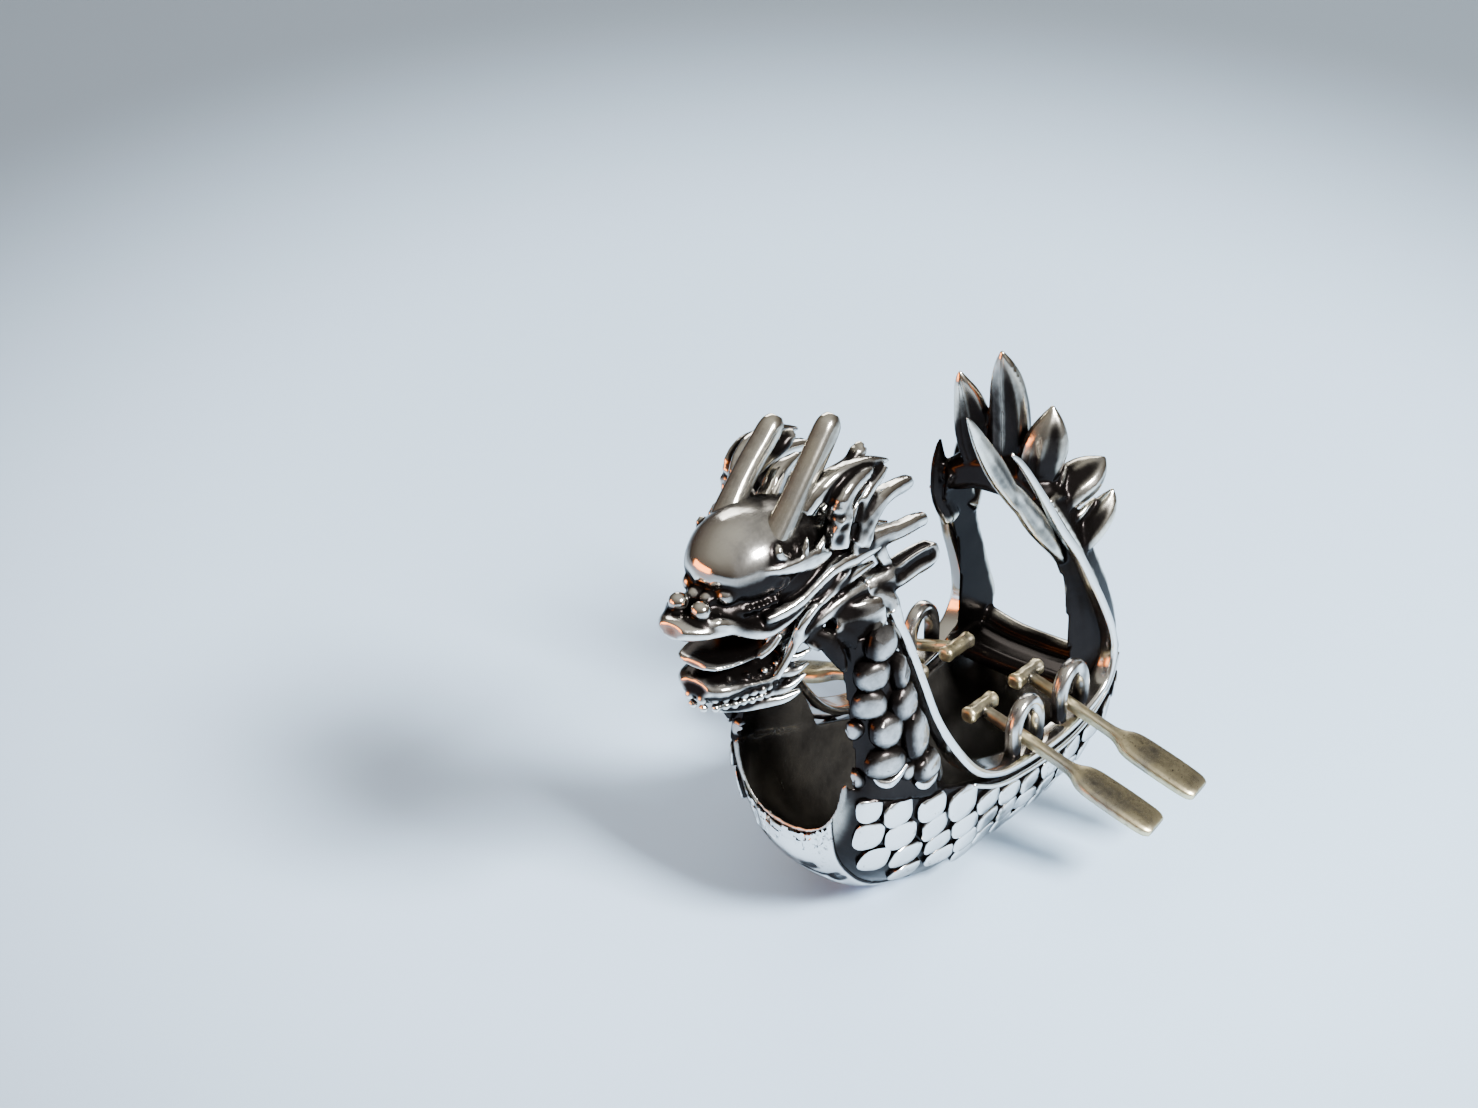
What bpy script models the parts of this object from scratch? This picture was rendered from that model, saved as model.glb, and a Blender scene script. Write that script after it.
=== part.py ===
"""A dragon boat charm: a hollow cast silver bead in the form of a dragon boat, with four oars that move.

The bow points along -X, the port side faces -Y, and the boat stands on the flat of its keel at z = 0.
All sizes below are in millimetres and are turned into metres when a mesh is made.
"""

import math

import bmesh
import bpy
from mathutils import Vector
from mathutils.bvhtree import BVHTree

MM = 0.001

# Driving dimensions
HALF_BEAM = 3.6  # outside of the hull at its widest
WALL = 0.85  # thickness of the cast wall
KEEL_WEAR = 0.12  # how much of the round keel is worn flat
SEAM = 0.03  # gap between two cast pieces that touch
BORE_HALF = HALF_BEAM - WALL  # half the width that a bracelet passes through
LEAN = 0.1  # how far the neck and the stern posts lean in for each mm above LEAN_FROM
LEAN_FROM = 7.0
GUNWALE_HALF = 0.2  # half the thickness of the polished strip
SILL_TOP = 5.5  # floor of the bore at the stern
SILL_HALF = 2.41  # half width of that floor, between the stern posts
HORN_SPREAD = 1.1
RELIEF = 0.14  # height of the scales over the hull
GROOVE_DEPTH = 0.3  # how far a scale or knob reaches into what carries it
OAR_DROOP = math.radians(20)  # slope of an oar that lies on the gunwale
OAR_RADIUS = 0.22
OAR_AXLE_LIFT = 0.46  # from the top of the gunwale to the line that an oar rocks about
OAR_INBOARD = 1.9  # from the oarlock to the grip
OAR_OUTBOARD = 5.6  # from the oarlock to the blade's tip
BLADE_LENGTH = 3.1
LOCK_WIRE = 0.27  # radius of the wire of an oarlock
LOCK_HALF_WIDTH = 0.72
LOCK_HEIGHT = 1.75

# x, keel height, half beam, top of the side, height over which the bottom rounds up, thickness of wall
HULL_STATIONS = (
    (-6.3, 3.75, 2.5, 7.1, 3.4, 0.3),
    (-6.0, 3.25, 2.8, 6.99, 3.7, 0.45),
    (-5.5, 2.65, 3.05, 6.8, 4.2, 0.6),
    (-4.4, 1.6, 3.3, 6.38, 4.9, 0.75),
    (-3.3, 0.9, 3.42, 5.97, 5.4, WALL),
    (-2.2, 0.42, 3.52, 5.55, 5.7, WALL),
    (-1.4, 0.15, 3.58, 5.25, 5.6, WALL),
    (-0.6, -KEEL_WEAR, 3.6, 4.95, 5.4, WALL),
    (1.2, -KEEL_WEAR, 3.6, 4.35, 5.2, WALL),
    (3.2, -KEEL_WEAR, 3.6, 4.0, 5.0, WALL),
    (4.6, -KEEL_WEAR, 3.6, 4.0, 4.9, WALL),
    (5.8, 0.1, 3.6, 4.12, 4.6, WALL),
    (6.8, 0.42, 3.58, 4.35, 4.2, WALL),
    (7.6, 0.85, 3.52, 4.7, 3.9, WALL),
    (8.4, 1.6, 3.4, 5.3, 3.6, 0.75),
    (9.2, 2.9, 3.1, 6.2, 3.3, 0.6),
)

# The polished strip's centre line, from the back of the head round to the tail: x, z
GUNWALE_FORE = ((-4.75, 13.1), (-4.2, 11.9), (-3.55, 10.2), (-2.85, 8.4), (-1.85, 6.75), (-0.75, 5.55))
GUNWALE_MID = ((-0.68, 5.48), (0.6, 4.85), (2.0, 4.5), (3.6, 4.32), (5.2, 4.36), (6.6, 4.65))
# x, distance from the middle, z, half width across the boat
GUNWALE_AFT = (
    (6.75, 3.3, 4.72, 0.42),
    (7.6, 3.3, 5.17, 0.4),
    (8.1, 3.3, 6.1, 0.34),
    (7.85, 3.25, 7.2, 0.3),
    (7.3, 3.2, 8.3, 0.27),
    (6.85, 3.1, 9.35, 0.25),
    (6.18, 2.9, 10.7, 0.22),
    (5.26, 2.65, 12.1, 0.18),
    (4.2, 2.45, 13.8, 0.14),
    (3.1, 2.35, 15.3, 0.12),
)
STARBOARD_STRIP_ROWS = 8  # the starboard strip ends under its short leaf

# The post of the stern's port side, as rings of four corners from the hull up to the tail.
# Each corner is x, distance from the middle, z: inner front, under the strip, aft outside, aft inside.
STERN_POST = (
    ((6.8, 2.47, 4.75), (8.0, 3.3, 4.85), (9.15, 2.8, 5.8), (9.15, 2.4, 5.75)),
    ((6.75, 2.45, 5.6), (8.3, 3.3, 5.9), (9.2, 2.9, 6.5), (9.1, 2.35, 6.5)),
    ((6.6, 2.35, 7.0), (8.1, 3.3, 7.1), (8.95, 2.95, 7.4), (8.6, 2.3, 7.4)),
    ((6.5, 2.3, 8.3), (7.6, 3.25, 8.3), (8.5, 2.9, 8.5), (8.1, 2.25, 8.5)),
    ((6.15, 2.25, 9.7), (6.95, 3.1, 9.8), (7.75, 2.8, 10.0), (7.4, 2.15, 10.0)),
    ((5.4, 2.15, 10.9), (6.2, 2.85, 11.2), (7.1, 2.55, 11.4), (6.8, 1.95, 11.4)),
    ((4.9, 2.0, 12.0), (5.5, 2.65, 12.3), (6.6, 2.35, 12.6), (6.4, 1.85, 12.6)),
)

OAR_STATIONS = (("fore", 2.7), ("aft", 5.6))  # x of each oarlock

# x, z centre, half width, half height
SKULL = (
    (-4.5, 14.35, 1.3, 0.75),
    (-5.4, 14.7, 1.95, 1.35),
    (-6.7, 15.2, 2.15, 1.75),
    (-8.0, 15.6, 2.05, 1.75),
    (-9.2, 15.75, 1.8, 1.5),
    (-10.0, 15.7, 1.6, 1.2),
    (-10.5, 15.35, 1.4, 0.8),
    (-11.1, 15.15, 1.2, 0.5),
    (-11.9, 15.15, 0.95, 0.35),
    (-12.6, 15.2, 0.5, 0.18),
)
JAW = (
    (-6.9, 13.0, 1.1, 0.4),
    (-8.2, 12.6, 1.35, 0.5),
    (-9.6, 12.45, 1.3, 0.48),
    (-10.9, 12.5, 1.05, 0.42),
    (-11.5, 12.6, 0.6, 0.25),
)

# Ridges and knobs of the head's port side, as x, distance from the middle, z, half width, half thickness
HEAD_RIDGES = (
    ("lip", ((-12.2, 0.6, 15.0, 0.28, 0.25), (-11.2, 1.1, 14.95, 0.3, 0.25), (-10.2, 1.4, 14.6, 0.28, 0.25),
             (-9.2, 1.6, 14.4, 0.26, 0.25), (-8.0, 1.85, 14.95, 0.2, 0.2))),
    ("cheek", ((-9.6, 1.5, 15.0, 0.25, 0.22), (-8.2, 1.9, 15.25, 0.3, 0.25), (-7.0, 2.1, 15.7, 0.3, 0.25),
               (-5.6, 2.1, 15.55, 0.28, 0.25), (-4.6, 2.2, 15.55, 0.12, 0.12))),
    ("brow leaf", ((-10.0, 1.45, 16.4, 0.15, 0.15), (-9.0, 1.7, 16.6, 0.4, 0.22),
                   (-8.0, 1.85, 16.5, 0.38, 0.22), (-7.1, 1.85, 16.3, 0.15, 0.15))),
    ("nostril", ((-10.9, 0.65, 15.7, 0.3, 0.3), (-10.5, 0.7, 15.85, 0.42, 0.36),
                 (-10.1, 0.75, 15.95, 0.3, 0.3))),
)

# name, then x, y, z, half width, half thickness from root to tip; y is the distance from the middle
LOCKS_OF_MANE = (
    ("upper", ((-6.7, 1.5, 16.3, 0.55, 0.32), (-6.7, 1.9, 17.3, 0.48, 0.3), (-6.1, 2.05, 18.1, 0.36, 0.25),
               (-5.2, 2.05, 18.4, 0.26, 0.2), (-4.2, 2.0, 18.35, 0.1, 0.08))),
    ("middle", ((-6.3, 1.8, 15.9, 0.6, 0.3), (-5.5, 2.15, 16.85, 0.5, 0.28), (-4.6, 2.2, 17.25, 0.32, 0.24),
                (-3.15, 2.1, 17.15, 0.14, 0.12))),
    ("lower", ((-5.9, 1.9, 15.2, 0.55, 0.3), (-4.7, 2.2, 15.9, 0.36, 0.26), (-3.5, 2.15, 15.75, 0.26, 0.2),
               (-2.2, 2.1, 15.6, 0.12, 0.1))),
    ("nape", ((-5.2, 2.0, 13.8, 0.42, 0.26), (-3.8, 2.45, 14.3, 0.36, 0.28), (-2.1, 2.4, 14.35, 0.3, 0.24))),
)
CENTRE_FIN = (
    (5.75, 0, 13.9, 0.8, 0.45), (5.9, 0, 15.2, 0.78, 0.45),
    (5.6, 0, 16.7, 0.55, 0.36), (5.1, 0, 18.2, 0.08, 0.08),
)
TAIL_FINS = (
    ("upper", ((5.75, 1.0, 13.7, 0.65, 0.35), (6.05, 1.35, 14.8, 0.62, 0.38), (5.95, 1.6, 16.3, 0.08, 0.08))),
    ("middle", ((6.2, 1.8, 12.5, 0.6, 0.35), (7.2, 2.15, 13.1, 0.6, 0.38), (8.3, 2.45, 13.7, 0.08, 0.08))),
    ("lower", ((7.0, 2.3, 10.9, 0.55, 0.32), (7.6, 2.7, 11.7, 0.52, 0.35), (8.05, 3.0, 12.6, 0.08, 0.08))),
)
STARBOARD_UPPER_FIN = (
    (5.5, 1.0, 13.7, 0.65, 0.35), (5.4, 1.35, 15.2, 0.55, 0.36), (4.9, 1.6, 17.0, 0.08, 0.08),
)
PORT_LEAF = (
    (5.3, 2.35, 10.9, 0.6, 0.3), (4.6, 2.3, 11.9, 0.75, 0.3), (3.5, 2.25, 13.45, 0.8, 0.3),
    (2.5, 2.2, 15.1, 0.66, 0.26), (1.25, 2.2, 16.6, 0.5, 0.22), (-0.2, 2.2, 18.4, 0.06, 0.06),
)
STARBOARD_LEAF = (
    (5.6, 2.25, 10.8, 0.5, 0.28), (5.25, 2.4, 12.0, 0.55, 0.28),
    (5.15, 2.45, 13.2, 0.4, 0.24), (5.15, 2.5, 14.1, 0.07, 0.07),
)

# The hull's scales on the port side: x, z, half length along the boat, half height
HULL_SCALES = (
    (-5.85, 6.25, 0.4, 0.42), (-5.65, 5.1, 0.48, 0.52), (-4.95, 3.75, 0.5, 0.5),
    (-4.75, 5.78, 0.6, 0.48), (-4.4, 4.6, 0.6, 0.5), (-3.65, 3.3, 0.6, 0.55), (-3.0, 2.1, 0.55, 0.5),
    (-3.15, 5.2, 0.62, 0.42), (-2.75, 4.2, 0.62, 0.42), (-2.2, 3.2, 0.6, 0.42), (-1.6, 2.2, 0.6, 0.42),
    (-1.5, 4.45, 0.7, 0.48), (-1.0, 3.35, 0.6, 0.4), (-0.45, 2.4, 0.6, 0.4), (0.0, 1.5, 0.55, 0.4),
    (0.1, 3.75, 0.6, 0.36), (0.45, 2.8, 0.55, 0.4), (0.85, 1.9, 0.5, 0.38), (1.2, 1.1, 0.5, 0.35),
    (1.5, 3.45, 0.55, 0.36), (1.85, 2.5, 0.5, 0.4), (2.2, 1.6, 0.5, 0.38), (2.5, 0.9, 0.45, 0.3),
    (2.85, 3.25, 0.55, 0.36), (3.1, 2.3, 0.5, 0.4), (3.4, 1.4, 0.5, 0.38),
    (4.2, 3.2, 0.55, 0.36), (4.4, 2.25, 0.5, 0.4), (4.6, 1.35, 0.5, 0.38),
    (5.5, 3.3, 0.5, 0.36), (5.7, 2.35, 0.5, 0.4), (5.85, 1.45, 0.45, 0.38),
    (6.75, 3.5, 0.48, 0.38), (6.9, 2.5, 0.45, 0.42), (7.0, 1.55, 0.42, 0.38),
    (7.85, 3.85, 0.42, 0.42), (7.95, 2.8, 0.4, 0.42), (8.65, 4.4, 0.3, 0.45),
)
# The beads on the port leg of the neck: x, z, half length, half height, how far it stands out
NECK_BEADS = (
    (-5.75, 12.55, 0.5, 0.42, 0.32), (-4.9, 12.3, 0.3, 0.36, 0.24), (-6.05, 11.6, 0.48, 0.44, 0.32),
    (-4.85, 11.25, 0.38, 0.5, 0.28), (-6.05, 10.5, 0.44, 0.46, 0.3), (-4.75, 10.1, 0.46, 0.52, 0.3),
    (-5.5, 9.35, 0.5, 0.52, 0.3), (-4.2, 8.7, 0.48, 0.72, 0.3), (-5.5, 8.05, 0.62, 0.42, 0.26),
    (-3.65, 7.2, 0.55, 0.42, 0.24),
)
# The dragon's belly plates at the bow: x where each starts and ends, half width
BELLY_PLATES = ((-6.2, -5.0, 1.55), (-4.75, -3.45, 1.45), (-3.2, -1.9, 1.3))


def clear_scene():
    for obj in list(bpy.data.objects):
        bpy.data.objects.remove(obj, do_unlink=True)


def silver(name, colour, roughness):
    made = bpy.data.materials.new(name)
    made.use_nodes = True
    shader = made.node_tree.nodes["Principled BSDF"]
    shader.inputs["Base Color"].default_value = (*colour, 1)
    shader.inputs["Metallic"].default_value = 1
    shader.inputs["Roughness"].default_value = roughness
    return made


def add_object(name, mesh_points, faces, material, origin=(0, 0, 0)):
    """One closed mesh whose points are millimetres in the boat's frame, with its origin where given."""
    at = Vector(origin)
    shape = bmesh.new()
    points = [shape.verts.new((Vector(p) - at) * MM) for p in mesh_points]
    for face in faces:
        shape.faces.new([points[i] for i in face])
    bmesh.ops.recalc_face_normals(shape, faces=shape.faces)
    if shape.calc_volume(signed=True) < 0:
        bmesh.ops.reverse_faces(shape, faces=shape.faces)
    mesh = bpy.data.meshes.new(name)
    shape.to_mesh(mesh)
    shape.free()
    mesh.materials.append(material)
    mesh.shade_smooth()
    mesh.set_sharp_from_angle(angle=math.radians(40))
    obj = bpy.data.objects.new(name, mesh)
    obj.location = at * MM
    bpy.context.collection.objects.link(obj)
    return obj


def loft(name, rings, material, origin=(0, 0, 0)):
    """A closed body through rings that all have the same number of points, with flat ends."""
    count = len(rings[0])
    points = [p for ring in rings for p in ring]
    faces = []
    for row in range(len(rings) - 1):
        for i in range(count):
            j = (i + 1) % count
            a = row * count
            faces.append((a + i, a + j, a + count + j, a + count + i))
    faces.append(tuple(range(count)))
    faces.append(tuple(range(len(points) - count, len(points))))
    return add_object(name, points, faces, material, origin)


def path_rings(rows, sides, across, squareness=1.0):
    """Rings of an ellipse or, with a low squareness, of a rounded bar, square to a path.

    Columns of rows: x, y, z, half size along `across`, half size the other way.
    """
    rings = []
    for i, row in enumerate(rows):
        before, after = rows[max(i - 1, 0)], rows[min(i + 1, len(rows) - 1)]
        along = (Vector(after[:3]) - Vector(before[:3])).normalized()
        wide = Vector(across) - along * along.dot(Vector(across))
        wide.normalize()
        thick = along.cross(wide)
        ring = []
        for k in range(sides):
            turn = math.tau * (k + 0.5) / sides
            u = math.copysign(abs(math.cos(turn)) ** squareness, math.cos(turn))
            v = math.copysign(abs(math.sin(turn)) ** squareness, math.sin(turn))
            ring.append(Vector(row[:3]) + wide * (u * row[3]) + thick * (v * row[4]))
        rings.append(ring)
    return rings


def sweep(name, rows, material, sides=8, across=(0, 1, 0), squareness=1.0, origin=(0, 0, 0)):
    return loft(name, path_rings(rows, sides, across, squareness), material, origin)


def seat(piece, *neighbours, gap=SEAM):
    """Cuts the neighbours' shapes, grown by a small gap, out of a piece, so that it sits against them."""
    shapes = []
    for other in neighbours:
        shapes.append(other)
        for step in other.modifiers:
            if step.type == "BOOLEAN" and step.operation == "UNION":
                shapes.append(step.object)
    for other in shapes:
        cutter = other.copy()
        cutter.data = other.data.copy()
        cutter.modifiers.clear()
        cutter.name = f"cut {piece.name} {other.name}"
        cutter.hide_render = True
        cutter.display_type = "WIRE"
        bpy.context.collection.objects.link(cutter)
        grow = cutter.modifiers.new("Grow", "DISPLACE")
        grow.mid_level = 0
        grow.strength = gap * MM
        cut = piece.modifiers.new(f"Seat on {other.name}", "BOOLEAN")
        cut.operation = "DIFFERENCE"
        cut.solver = "EXACT"
        cut.object = cutter


def finished_mesh(piece):
    """A copy of a piece's mesh as it stands after its modifiers."""
    bpy.context.view_layer.update()
    return bpy.data.meshes.new_from_object(piece.evaluated_get(bpy.context.evaluated_depsgraph_get()))


def mirrored(port_piece):
    """The starboard twin of a port piece."""
    mesh = finished_mesh(port_piece)
    for vertex in mesh.vertices:
        vertex.co.y = -vertex.co.y
    mesh.flip_normals()
    twin = bpy.data.objects.new(port_piece.name.replace("port", "starboard"), mesh)
    x, y, z = port_piece.location
    twin.location = (x, -y, z)
    bpy.context.collection.objects.link(twin)
    return twin


def hull_section(keel, half_beam, top, bilge, wall, segments=16):
    """The U of the hull at one station, as y and z: port to starboard outside, and back inside."""
    outer, inner = [], []
    for section, half, floor, rise, fullness in (
        (outer, half_beam, keel, bilge, 1.0),
        (inner, half_beam - wall, keel + wall, bilge - wall, 0.75),
    ):
        end = math.acos(max(0, 1 - (top - floor) / rise))
        for k in range(segments + 1):
            turn = end * (2 * k / segments - 1)
            side = math.copysign(abs(math.sin(turn)) ** fullness, turn)
            section.append((half * side, max(0, floor + rise * (1 - math.cos(turn)))))
    return outer + inner[::-1]


def build_hull(material):
    rings = [[(x, y, z) for y, z in hull_section(*row)] for x, *row in HULL_STATIONS]
    return loft("hull", rings, material)


def surface_of(piece):
    """A finder of points on a piece that has no modifiers, in millimetres."""
    at = piece.location
    points = [(vertex.co + at) / MM for vertex in piece.data.vertices]
    return BVHTree.FromPolygons(points, [tuple(face.vertices) for face in piece.data.polygons])


def scale_rings(surface, x, z, length, height, out, corners=8, dome=0.0, foot=GROOVE_DEPTH):
    """A scale set on the port side of a surface: its foot inside the wall, its edge and its raised top."""
    centre, normal, _, _ = surface.ray_cast(Vector((x, -9, z)), Vector((0, 1, 0)))
    across = Vector((1, 0, 0)) - normal * normal.x
    across.normalize()
    down = normal.cross(across)
    rings = []
    for size, lift in ((0.96, -foot), (1.0, out * 0.4), (0.8 - dome * 0.2, out)):
        ring = []
        for k in range(corners):
            turn = math.tau * (k + 0.5) / corners
            near, up, _, _ = surface.find_nearest(
                centre + across * (math.cos(turn) * length * size) + down * (math.sin(turn) * height * size)
            )
            ring.append(near + up * lift)
        rings.append(ring)
    if dome:
        rings.append([centre.lerp(point, 0.45) + normal * (out * dome) for point in rings[-1]])
    return rings


def unite(piece, rings_of_parts, parts=()):
    """Adds parts that don't touch each other to a piece. They are given by their rings, or ready made."""
    material = piece.data.materials[0]
    lofted = [loft(f"part {i} of {piece.name}", rings, material) for i, rings in enumerate(rings_of_parts)]
    join = bmesh.new()
    for part in lofted + list(parts):
        join.from_mesh(part.data)
        bpy.data.objects.remove(part, do_unlink=True)
    mesh = bpy.data.meshes.new(f"parts of {piece.name}")
    join.to_mesh(mesh)
    join.free()
    added = bpy.data.objects.new(f"parts of {piece.name}", mesh)
    added.hide_render = True
    added.display_type = "WIRE"
    bpy.context.collection.objects.link(added)
    union = piece.modifiers.new("Relief", "BOOLEAN")
    union.operation = "UNION"
    union.solver = "EXACT"
    union.object = added


def other_side(rings):
    return [[(x, -y, z) for x, y, z in ring] for ring in rings]


def belly_plate(surface, start, end, half, material):
    """A curved plate across the keel, as a patch of the hull's surface lifted off it."""
    rows, columns = 3, 9
    points = []
    for lift in (-GROOVE_DEPTH, RELIEF):
        for i in range(rows):
            for j in range(columns):
                side = 2 * j / (columns - 1) - 1
                x = start + (end - start) * i / (rows - 1) + 0.25 * (1 - side * side)
                near, up, _, _ = surface.ray_cast(Vector((x, side * half, -9)), Vector((0, 0, 1)))
                points.append(near + up * lift)
    faces, count = [], rows * columns
    for i in range(rows - 1):
        for j in range(columns - 1):
            a = i * columns + j
            faces.append((a, a + 1, a + columns + 1, a + columns))
            faces.append((count + a, count + a + columns, count + a + columns + 1, count + a + 1))
    rim = [j for j in range(columns)] + [i * columns + columns - 1 for i in range(1, rows)]
    rim += [(rows - 1) * columns + j for j in range(columns - 2, -1, -1)]
    rim += [i * columns for i in range(rows - 2, 0, -1)]
    for a, b in zip(rim, rim[1:] + rim[:1]):
        faces.append((a, b, count + b, count + a))
    return add_object("plate", points, faces, material)


def add_hull_relief(hull):
    surface = surface_of(hull)
    port = [scale_rings(surface, x, z, length, height, RELIEF) for x, z, length, height in HULL_SCALES]
    plates = [belly_plate(surface, *row, hull.data.materials[0]) for row in BELLY_PLATES]
    unite(hull, port + [other_side(rings) for rings in port], plates)


def outside_of(line, distance):
    """The line of a gunwale moved square to itself, towards the outside of the hull."""
    moved = []
    for i, (x, z) in enumerate(line):
        (x0, z0), (x1, z1) = line[max(i - 1, 0)], line[min(i + 1, len(line) - 1)]
        length = math.hypot(x1 - x0, z1 - z0)
        moved.append((x + (z1 - z0) / length * distance, z - (x1 - x0) / length * distance))
    return moved


def build_neck(material):
    """The port leg of the neck: straight under the strip and rounded in towards the open chest."""
    under_gunwale = outside_of(GUNWALE_FORE, GUNWALE_HALF + SEAM)
    inner_line = [(-1.3, 5.26), *under_gunwale[-2::-1]]
    outer_line = [(-6.3, 7.14), (-6.38, 8.2), (-6.5, 9.4), (-6.65, 10.7), (-6.85, 12.0), (-7.1, 13.0)]
    # how far from the strip to the open chest, and distance from the middle, around the leg's section
    section = (
        (0, 3.5), (0.55, 3.5), (0.8, 3.3), (0.95, 2.95),
        (1, 2.62), (0.97, BORE_HALF - 0.35), (0.75, BORE_HALF), (0, BORE_HALF),
    )
    rings = []
    for (xi, zi), (xo, zo) in zip(inner_line, outer_line):
        ring = []
        for part, y in section:
            x, z = xi + (xo - xi) * part, zi + (zo - zi) * part
            ring.append((x, -y + LEAN * max(0, z - LEAN_FROM), z))
        rings.append(ring)
    neck = loft("neck_port", rings, material)
    surface = surface_of(neck)
    unite(neck, [
        scale_rings(surface, x, z, length, height, out, dome=1.25, foot=0.1)
        for x, z, length, height, out in NECK_BEADS
    ])
    return neck


def build_stern(material, hull, strip):
    post = loft(
        "stern_post_port", [[(x, -y, z) for x, y, z in ring] for ring in STERN_POST], material
    )
    seat(post, hull, strip)
    mirrored(post)
    # x, height and half width below, half width above, of the sill that closes the hull under the bore
    sill_rows = ((6.6, 1.2, 2.2, SILL_HALF), (9.15, 0.9, 1.8, 2.2))
    loft(
        "stern_sill",
        [
            [
                (x, -low, SILL_TOP - height), (x, low, SILL_TOP - height),
                (x, high, SILL_TOP), (x, -high, SILL_TOP),
            ]
            for x, height, low, high in sill_rows
        ],
        material,
    )
    # y, z, half height of the crossing that closes the bore above and carries the tail
    root_rows = ((-1.8, 12.9, 0.9), (-1.0, 13.25, 0.95), (0, 13.4, 1.1), (1.0, 13.25, 0.95), (1.8, 12.9, 0.9))
    root = loft(
        "tail_root",
        [
            [(x, y, z + h * half) for x, h in ((4.8, -1), (6.6, -1), (6.4, 1), (5.1, 1))]
            for y, z, half in root_rows
        ],
        material,
    )
    return post, root


def build_gunwales(material):
    """The polished strip, and its aft part on the port side, which the stern post is cut to fit."""
    for part, line in (("fore", GUNWALE_FORE), ("mid", GUNWALE_MID)):
        rows = [(x, -3.3 + LEAN * max(0, z - LEAN_FROM), z, 0.42, GUNWALE_HALF) for x, z in line]
        mirrored(sweep(f"gunwale_{part}_port", rows, material, squareness=0.6))
    port = [(x, -y, z, wide, GUNWALE_HALF) for x, y, z, wide in GUNWALE_AFT]
    starboard = [(x, y, z, wide, GUNWALE_HALF) for x, y, z, wide in GUNWALE_AFT[:STARBOARD_STRIP_ROWS]]
    sweep("gunwale_aft_starboard", starboard, material, squareness=0.6)
    return sweep("gunwale_aft_port", port, material, squareness=0.6)


def build_head(material, dark, neck):
    def head_rings(table, sides):
        return path_rings([(x, 0, z, wide, high) for x, z, wide, high in table], sides, (0, 1, 0))

    skull = loft("skull", head_rings(SKULL, 16), material)
    for _, rows in HEAD_RIDGES:
        rings = path_rings([(x, -y, z, wide, thick) for x, y, z, wide, thick in rows], 8, (0, 0, 1))
        unite(skull, [rings, other_side(rings)])
    jaw = loft("lower_jaw", head_rings(JAW, 12), material)
    throat_rings = [
        [(x, y, z) for x, y in ((-7.2, -2.8), (-5.0, -2.8), (-5.0, 2.8), (-7.2, 2.8))] for z in (13.04, 14.2)
    ]
    throat = loft("throat", throat_rings, dark)
    seat(throat, skull)
    seat(jaw, skull, throat)
    tongue = sweep(
        "tongue",
        (
            (-7.6, 0, 13.4, 1.1, 0.16), (-9.8, 0, 13.45, 1.2, 0.18),
            (-11.1, 0, 13.5, 0.9, 0.17), (-11.55, 0, 13.52, 0.5, 0.12),
        ),
        material,
    )
    seat(tongue, skull, jaw)
    nose = sweep(
        "nose",
        ((-11.7, -0.4, 15.6, 0.3, 0.22), (-11.75, 0, 15.68, 0.34, 0.26), (-11.7, 0.4, 15.6, 0.3, 0.22)),
        material,
        across=(1, 0, 0),
    )
    seat(nose, skull)
    beard = sweep(
        "beard",
        ((-7.9, 0, 12.0, 0.9, 0.3), (-9.3, 0, 11.85, 1.0, 0.4), (-10.9, 0, 12.0, 0.6, 0.25)),
        material,
    )
    seat(beard, jaw)
    # x, z and radius, how much lower the starboard horn's tip is, and the short branch behind each horn
    horn_rows = (
        (-8.6, 16.7, 0.42), (-8.0, 17.7, 0.4), (-7.2, 18.65, 0.4), (-6.3, 19.7, 0.4), (-5.85, 20.3, 0.22),
    )
    branch_rows = (
        (-7.3, 1.15, 18.35, 0.26), (-6.2, 1.3, 18.45, 0.26),
        (-5.2, 1.35, 18.5, 0.24), (-4.8, 1.35, 18.75, 0.22),
    )
    for side, sign, drop in (("port", -1, 0), ("starboard", 1, 0.72)):
        def lowered(z):
            return z - drop * max(0, min(1, (z - 17.3) / 2.9))
        rows = [(x, sign * HORN_SPREAD, lowered(z), radius, radius) for x, z, radius in horn_rows]
        horn = sweep(f"horn_{side}", rows, material)
        branch = [(x, sign * y, lowered(z), radius, radius) for x, y, z, radius in branch_rows]
        unite(horn, [path_rings(branch, 8, (0, 0, 1))])
        seat(horn, skull)
    placed = [skull, throat, neck]
    for name, table in LOCKS_OF_MANE:
        rows = [(x, -y, z, wide, thick) for x, y, z, wide, thick in table]
        lock = sweep(f"mane_{name}_port", rows, material, across=(0, 0, 1))
        seat(lock, *placed)
        placed.append(lock)
        mirrored(lock)


def build_tail(material, post, root, strip):
    centre = sweep("tail_fin_centre", CENTRE_FIN, material)
    seat(centre, root)
    placed = [centre, root, post, strip]
    for name, table in TAIL_FINS:
        rows = [(x, -y, z, wide, thick) for x, y, z, wide, thick in table]
        fin = sweep(f"tail_fin_{name}_port", rows, material, across=(0.5, -0.8, 0))
        seat(fin, *placed)
        placed.append(fin)
        if name != "upper":
            mirrored(fin)
    starboard_post = bpy.data.objects["stern_post_starboard"]
    fin = sweep("tail_fin_upper_starboard", STARBOARD_UPPER_FIN, material, across=(0.5, 0.8, 0))
    seat(fin, centre, root, starboard_post)
    rows = [(x, -y, z, wide, thick) for x, y, z, wide, thick in PORT_LEAF]
    leaf = sweep("tail_fin_inner_port", rows, material, across=(0.7, 0, 0.7))
    seat(leaf, *placed)
    leaf = sweep("tail_fin_inner_starboard", STARBOARD_LEAF, material, across=(1, 0, 0))
    seat(leaf, root, starboard_post, bpy.data.objects["gunwale_aft_starboard"])


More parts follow.
